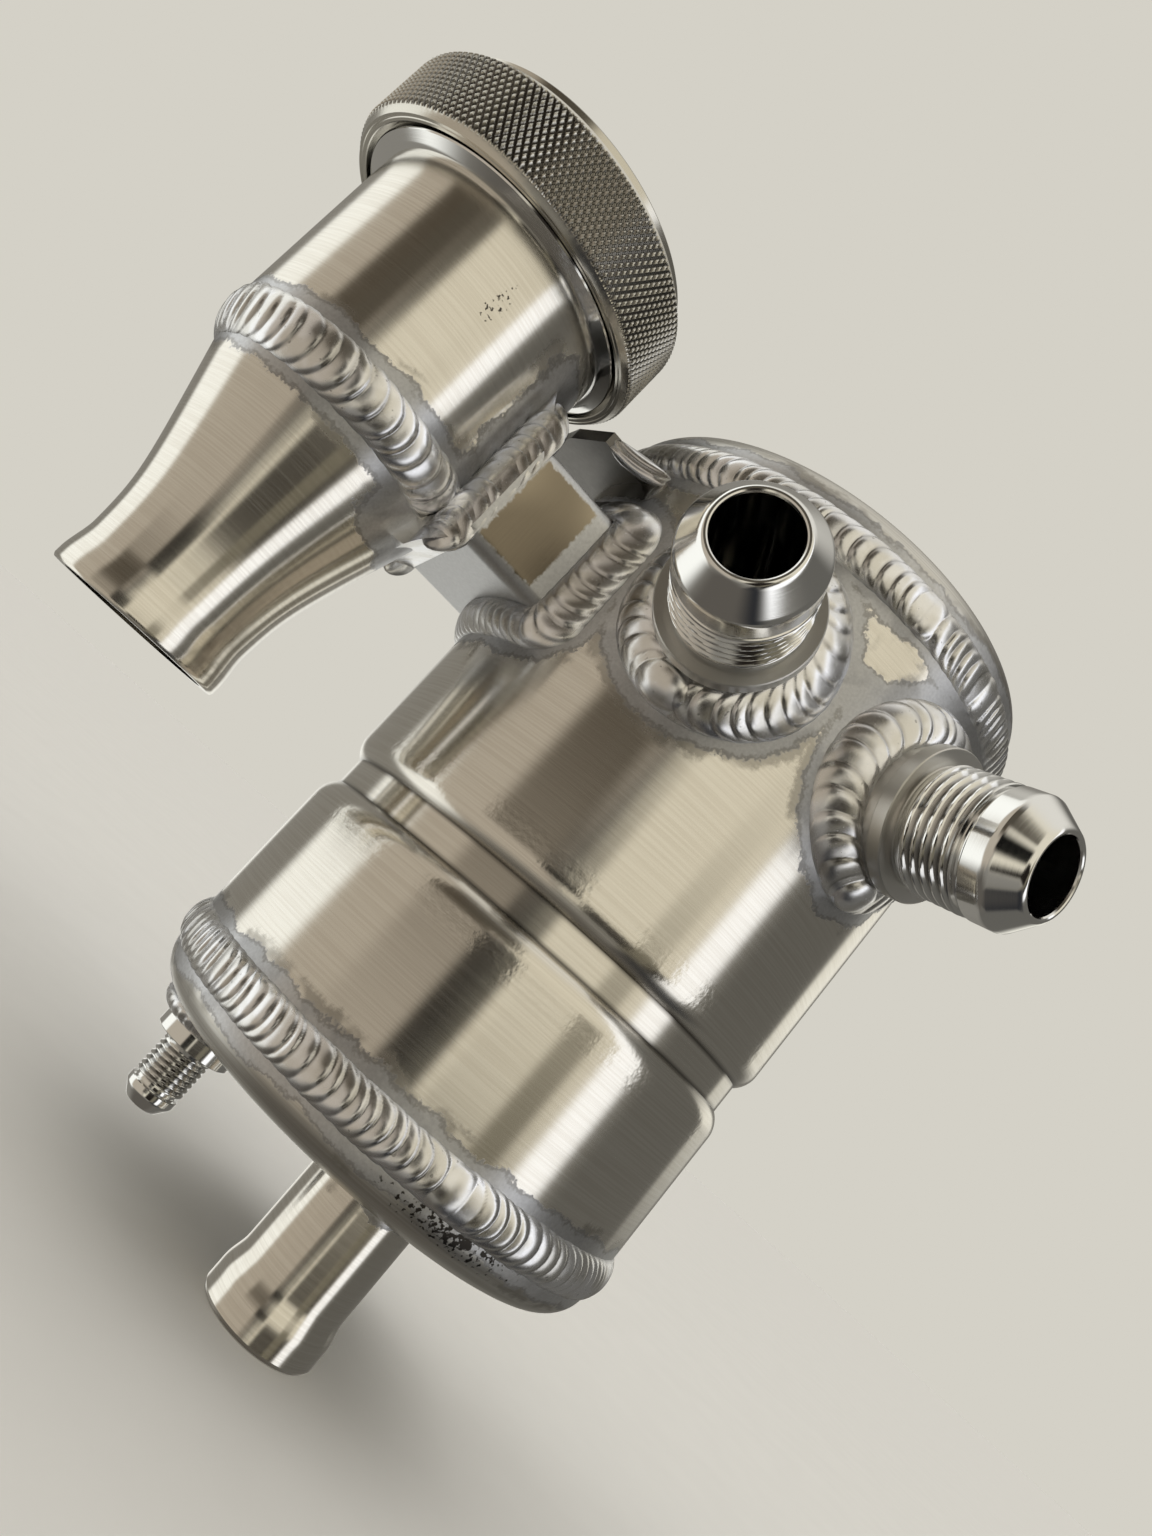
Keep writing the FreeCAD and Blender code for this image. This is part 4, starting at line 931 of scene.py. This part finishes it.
def make_cap():
    """The screw cap: a knurled band cut into two bright bevels, a raised disc on top and a threaded bore below."""
    top, bottom, radius = CAP_HIGH[2], CAP_LOW[2], (CAP_HIGH[0] - CAP_LOW[0]) / 2
    shoulder, disc_r, roof, skirt_r, relief = top - 3.0, radius - 3.4, top - 6.0, 35.1, bottom + 3.4
    knurl_low, knurl_high = bottom + 1.8, shoulder - 1.6
    count = round(TAU * radius / KNURL_AROUND) * KNURL_STEPS
    angles = ring_angles(count)
    knurl_z = np.arange(knurl_low - 0.6, knurl_high + 0.6, KNURL_ALONG / KNURL_STEPS)
    before = refined([
        (0.0, roof), (CAP_BORE, roof), (CAP_BORE, relief), (skirt_r, relief), (skirt_r, bottom + 0.2),
        (35.3, bottom), (35.9, bottom), (36.05, bottom + 0.15), (36.2, bottom + 0.15), (36.35, bottom),
        (radius - 1.5, bottom), (radius - 0.9, knurl_z[0] - 0.3)], 1.6)
    after = refined([
        (radius - 1.0, knurl_z[-1] + 0.3), (radius - 1.6, shoulder), (disc_r + 0.2, shoulder),
        (disc_r, shoulder + 0.2), (disc_r, top - 0.5), (disc_r - 0.5, top), (disc_r - 6.0, top),
        (disc_r - 6.4, top - 0.25), (disc_r - 6.8, top), (0.0, top)], 2.2)
    rows = np.vstack([before, stacked(radius, knurl_z), after])
    on_knurl = np.zeros((len(rows), 1))
    on_knurl[len(before):len(before) + len(knurl_z)] = 1.0
    row_r, row_z = rows[:, :1], rows[:, 1:]
    height = knurl_height(row_z - knurl_z[0], np.arange(count) * KNURL_AROUND / KNURL_STEPS)
    beyond = np.maximum(np.maximum(knurl_low - row_z, row_z - knurl_high), 0)
    depth = np.maximum(KNURL_DEPTH * (1 - height), 0.95 * beyond) * on_knurl
    # Painted shade in the knurl's valleys.
    dark = np.clip((1 - height) * 1.35, 0, 1) * on_knurl * (beyond < 0.3)
    in_bore = (np.abs(row_r - CAP_BORE) < 1e-6) & (row_z < roof - 0.5)
    thread = thread_depth(row_z, angles, bottom + 3.6, roof - 0.6, NECK_PITCH, 0.8) * in_bore
    points = about_z(row_r - depth + thread, row_z, angles, FILLER_X)
    make_piece("knurled_cap", points, grid_faces(len(rows), count), KNURLED, "filler_cap",
               "cap", {"satin": np.repeat(0.1 * on_knurl, count), "groove": dark.ravel()},
               surface_uv(rows, radius, angles), sharp=24.0)


def make_block():
    """The block: a rounded rectangular section carried along X from its square end to the can's wall."""
    bend = 3.4
    half, half_up = BLOCK_HALF - bend, BLOCK_HALF_UP - bend
    turn = np.linspace(0, math.pi / 2, 9)
    arc = stacked(np.cos(turn), np.sin(turn)) * bend
    section = np.vstack([arc + [half, half_up], arc[:, ::-1] * [-1, 1] + [-half, half_up],
                         -arc + [-half, -half_up], arc[:, ::-1] * [1, -1] + [half, -half_up]])
    section = refined(np.vstack([section, section[:1]]), 1.2)[:-1]
    finish = 0.6 - np.sqrt(CAN_R ** 2 - section[:, 0] ** 2)
    x = BLOCK_LOW[0] + (finish - BLOCK_LOW[0]) * np.linspace(0, 1, 16)[:, None]
    rows, count = x.shape
    faces = grid_faces(rows, count).tolist()
    faces += [list(range(count)), list(range((rows - 1) * count, rows * count))]
    make_piece("joining_block", stacked(x, section[:, 0], section[:, 1] + BLOCK_MIDDLE), faces, BAR,
               "link_block")


def make_spigot():
    """The hose spigot: a tube whose end swells to a rolled bead, along half a cosine wave."""
    end, bead_top = SPIGOT_LOW[2], SPIGOT_LOW[2] + SPIGOT_BEAD
    bore, top = SPIGOT_R - SPIGOT_WALL, SPIGOT_HIGH[2]
    ramp = [(SPIGOT_R + (SPIGOT_BEAD_R - SPIGOT_R) * (1 + math.cos(math.pi * t)) / 2, bead_top + 6.0 * t - 2.0)
            for t in np.linspace(0, 1, 9)]
    outline = [(bore, top), (bore, bead_top + 3.6), (bore + 1.0, bead_top), (bore + 1.0, end),
               (SPIGOT_BEAD_R - 0.5, end), (SPIGOT_BEAD_R, end + 0.8)] + ramp + [(SPIGOT_R, top)]
    rows = refined(outline + outline[:1], 1.2)[:-1]
    angles = ring_angles(144)
    toe = np.where(rows[:, 0] > SPIGOT_R - 0.1, CAN_BOTTOM - SMALL_LEG - rows[:, 1], FAR) + 2.0
    make_piece("hose_pipe", about_z(rows[:, :1], rows[:, 1:], angles, *SPIGOT_AT[:2]),
               grid_faces(len(rows), len(angles), close_rows=True), TUBE, "hose_spigot",
               fields={"toe": np.repeat(toe, len(angles))}, uv=surface_uv(rows, SPIGOT_R, angles))


def make_drain():
    """The drain fitting: a round base, an undercut, a thread and a coned nose, pointing down."""
    base_end, tip = CAN_BOTTOM - DRAIN_BASE, DRAIN_LOW[2]
    thread_from = base_end - DRAIN_RELIEF
    thread_to = thread_from - DRAIN_THREAD
    nose = tip + (DRAIN_THREAD_R - DRAIN_NOSE_R) * DRAIN_NOSE_SLOPE
    outline = [
        (DRAIN_BORE, DRAIN_HIGH[2]), (DRAIN_RELIEF_R, DRAIN_HIGH[2]), (DRAIN_RELIEF_R, CAN_BOTTOM),
        (DRAIN_BASE_R, CAN_BOTTOM), (DRAIN_BASE_R, base_end), (DRAIN_RELIEF_R, base_end),
        (DRAIN_RELIEF_R, thread_from + 0.3), (DRAIN_THREAD_R, thread_from), (DRAIN_THREAD_R, thread_to),
        (DRAIN_RELIEF_R, thread_to - 0.2), (DRAIN_RELIEF_R, thread_to - 1.1), (DRAIN_THREAD_R, thread_to - 1.2),
        (DRAIN_THREAD_R, nose), (3.7, tip + 0.1), (3.3, tip), (DRAIN_BORE, tip + 0.2),
    ]
    turned_piece("drain_flare_fitting", "drain_fitting", outline, ring_angles(112), upright(*DRAIN_AT[:2]),
                 (thread_to, thread_from, DRAIN_THREAD_R, DRAIN_PITCH, 0.65), bevel=0.15, thread_step=0.08)


def dress_solids():
    """Gives the solids that stay as they are their finishes."""
    # The mount tab's sheet is dark with painted shade.
    finishes = {"mount_tab": SHADED_SHEET, "baffle": SHADED_SHEET, "cap_seal": RUBBER, "link_weld_filler": WELD}
    for node, material in finishes.items():
        mesh = NODES[node].data
        mesh.materials.clear()
        mesh.materials.append(material)


# Light, floor and camera


def light_world():
    """A soft studio surround: pale and warm walls with two tall soft windows and dark gaps between them.

    Panels are (azimuth, half width, soft edge, lowest and highest elevation, soft edge of those, colour), in
    degrees; a later one lies over an earlier one.
    """
    world = bpy.data.worlds.new("studio")
    bpy.context.scene.world = world
    world.use_nodes = True
    tree = world.node_tree
    background = tree.nodes["Background"]
    way = add(tree, "ShaderNodeTexCoord").outputs["Generated"]
    parts = add(tree, "ShaderNodeSeparateXYZ", None, {"Vector": way})
    azimuth = calc(tree, "ARCTAN2", parts.outputs[1], parts.outputs[0])
    elevation = calc(tree, "ARCSINE", parts.outputs[2])
    colour = "#7C7972"
    panels = (
        (5, 34, 14, -60, 60, 11, "#5C5A55"),
        (202, 32, 12, -48, 90, 11, "#A89F91"),
        (278, 31, 8, -34, 80, 11, "#D0C9B7"),
        (153, 13, 8, -48, 70, 11, "#F4F4EE"),
        (281, 21, 8, -38, -9, 3, "#1F1B18"),
        (313, 5, 5, -34, 70, 11, "#FFFFFF"),
        (217, 12, 9, 3, 64, 11, "#484137"),
        (233, 11, 8, 20, 60, 4, "#4A453C"),
        (242, 7, 6, -17, 9, 6, "#0E0E0D"),
        (290, 4, 5, -46, 6, 11, "#6A6557"),
        (318, 24, 10, -72, -36, 11, "#26272A"),
        (78, 12, 8, -30, 10, 11, "#E2E1DA"),
        (30, 9, 5, 0, 24, 11, "#DEDBD0"),
    )
    for *angles, code in panels:
        middle, half, soft, low, high, blur = [math.radians(angle) for angle in angles]
        turned = calc(tree, "WRAP", calc(tree, "SUBTRACT", azimuth, middle), math.pi, -math.pi)
        beside = step_between(tree, calc(tree, "ABSOLUTE", turned), half, half + soft, 1.0, 0.0)
        above = step_between(tree, elevation, low - blur, low + blur)
        below = step_between(tree, elevation, high - blur, high + blur, 1.0, 0.0)
        colour = tint(tree, colour, code, beside, above, below)
    ground = step_between(tree, elevation, math.radians(-70), math.radians(-44), 1.0, 0.0)
    ceiling = step_between(tree, elevation, math.radians(45), math.radians(75))
    colour = tint(tree, tint(tree, colour, "#55514B", ground), "#D2CFC7", ceiling)
    seen = add(tree, "ShaderNodeLightPath").outputs["Is Camera Ray"]
    tree.links.new(tint(tree, colour, "#C0BDB4", seen), background.inputs["Color"])
    background.inputs["Strength"].default_value = 1.25


def add_sky_light():
    """A broad soft light from above that evens the floor and lays a soft shadow under the object."""
    data = bpy.data.lights.new("soft_ceiling", "SUN")
    data.angle, data.energy, data.color = math.radians(100), 1.1, (1.0, 0.99, 0.975)
    lamp = bpy.data.objects.new("soft_ceiling", data)
    bpy.context.scene.collection.objects.link(lamp)
    lamp.rotation_euler = (math.radians(12), math.radians(-8), 0)
    lamp.visible_glossy = False


def make_stage():
    """A pale floor under the object."""
    low, reach = CAD_BOX[0][2] - 0.0002, 6.0
    mesh = bpy.data.meshes.new("floor")
    mesh.from_pydata([(-reach, -reach, low), (reach, -reach, low), (reach, reach, low), (-reach, reach, low)],
                     [], [(0, 1, 2, 3)])
    mesh.materials.append(PAPER)
    floor = bpy.data.objects.new("floor", mesh)
    bpy.context.scene.collection.objects.link(floor)
    floor.visible_glossy = False


def make_camera():
    """The photograph's view: place, direction and roll found by fitting rings of known roundness."""
    focal_pixels, long_side = 1067.4, 1536
    place_mm = Vector((-93.3, -226.0, -13.4))
    forward = Vector((0.308, 0.931, 0.197)).normalized()
    right = forward.cross(Vector((-0.677, 0.069, 0.732))).normalized()
    up = right.cross(forward)
    data = bpy.data.cameras.new("camera")
    data.sensor_width = 36.0
    data.lens = data.sensor_width * focal_pixels / long_side
    data.clip_start, data.clip_end = 0.01, 50.0
    camera = bpy.data.objects.new("camera", data)
    turn = Matrix((right, up, -forward)).transposed().to_4x4()
    camera.matrix_world = Matrix.Translation(place_mm * MM) @ turn
    bpy.context.scene.collection.objects.link(camera)
    bpy.context.scene.camera = camera
    bpy.context.scene.view_settings.view_transform = "Standard"


make_can()
make_end("top_end", "top_cap", UPPER_JOINT, 1)
make_end("bottom_end", "bottom_cap", LOWER_JOINT, -1)
make_welds()
make_port("front", "front_port")
make_port("side", "side_port")
make_filler()
make_neck()
make_cap()
make_block()
make_spigot()
make_drain()
dress_solids()
light_world()
add_sky_light()
make_stage()
make_camera()
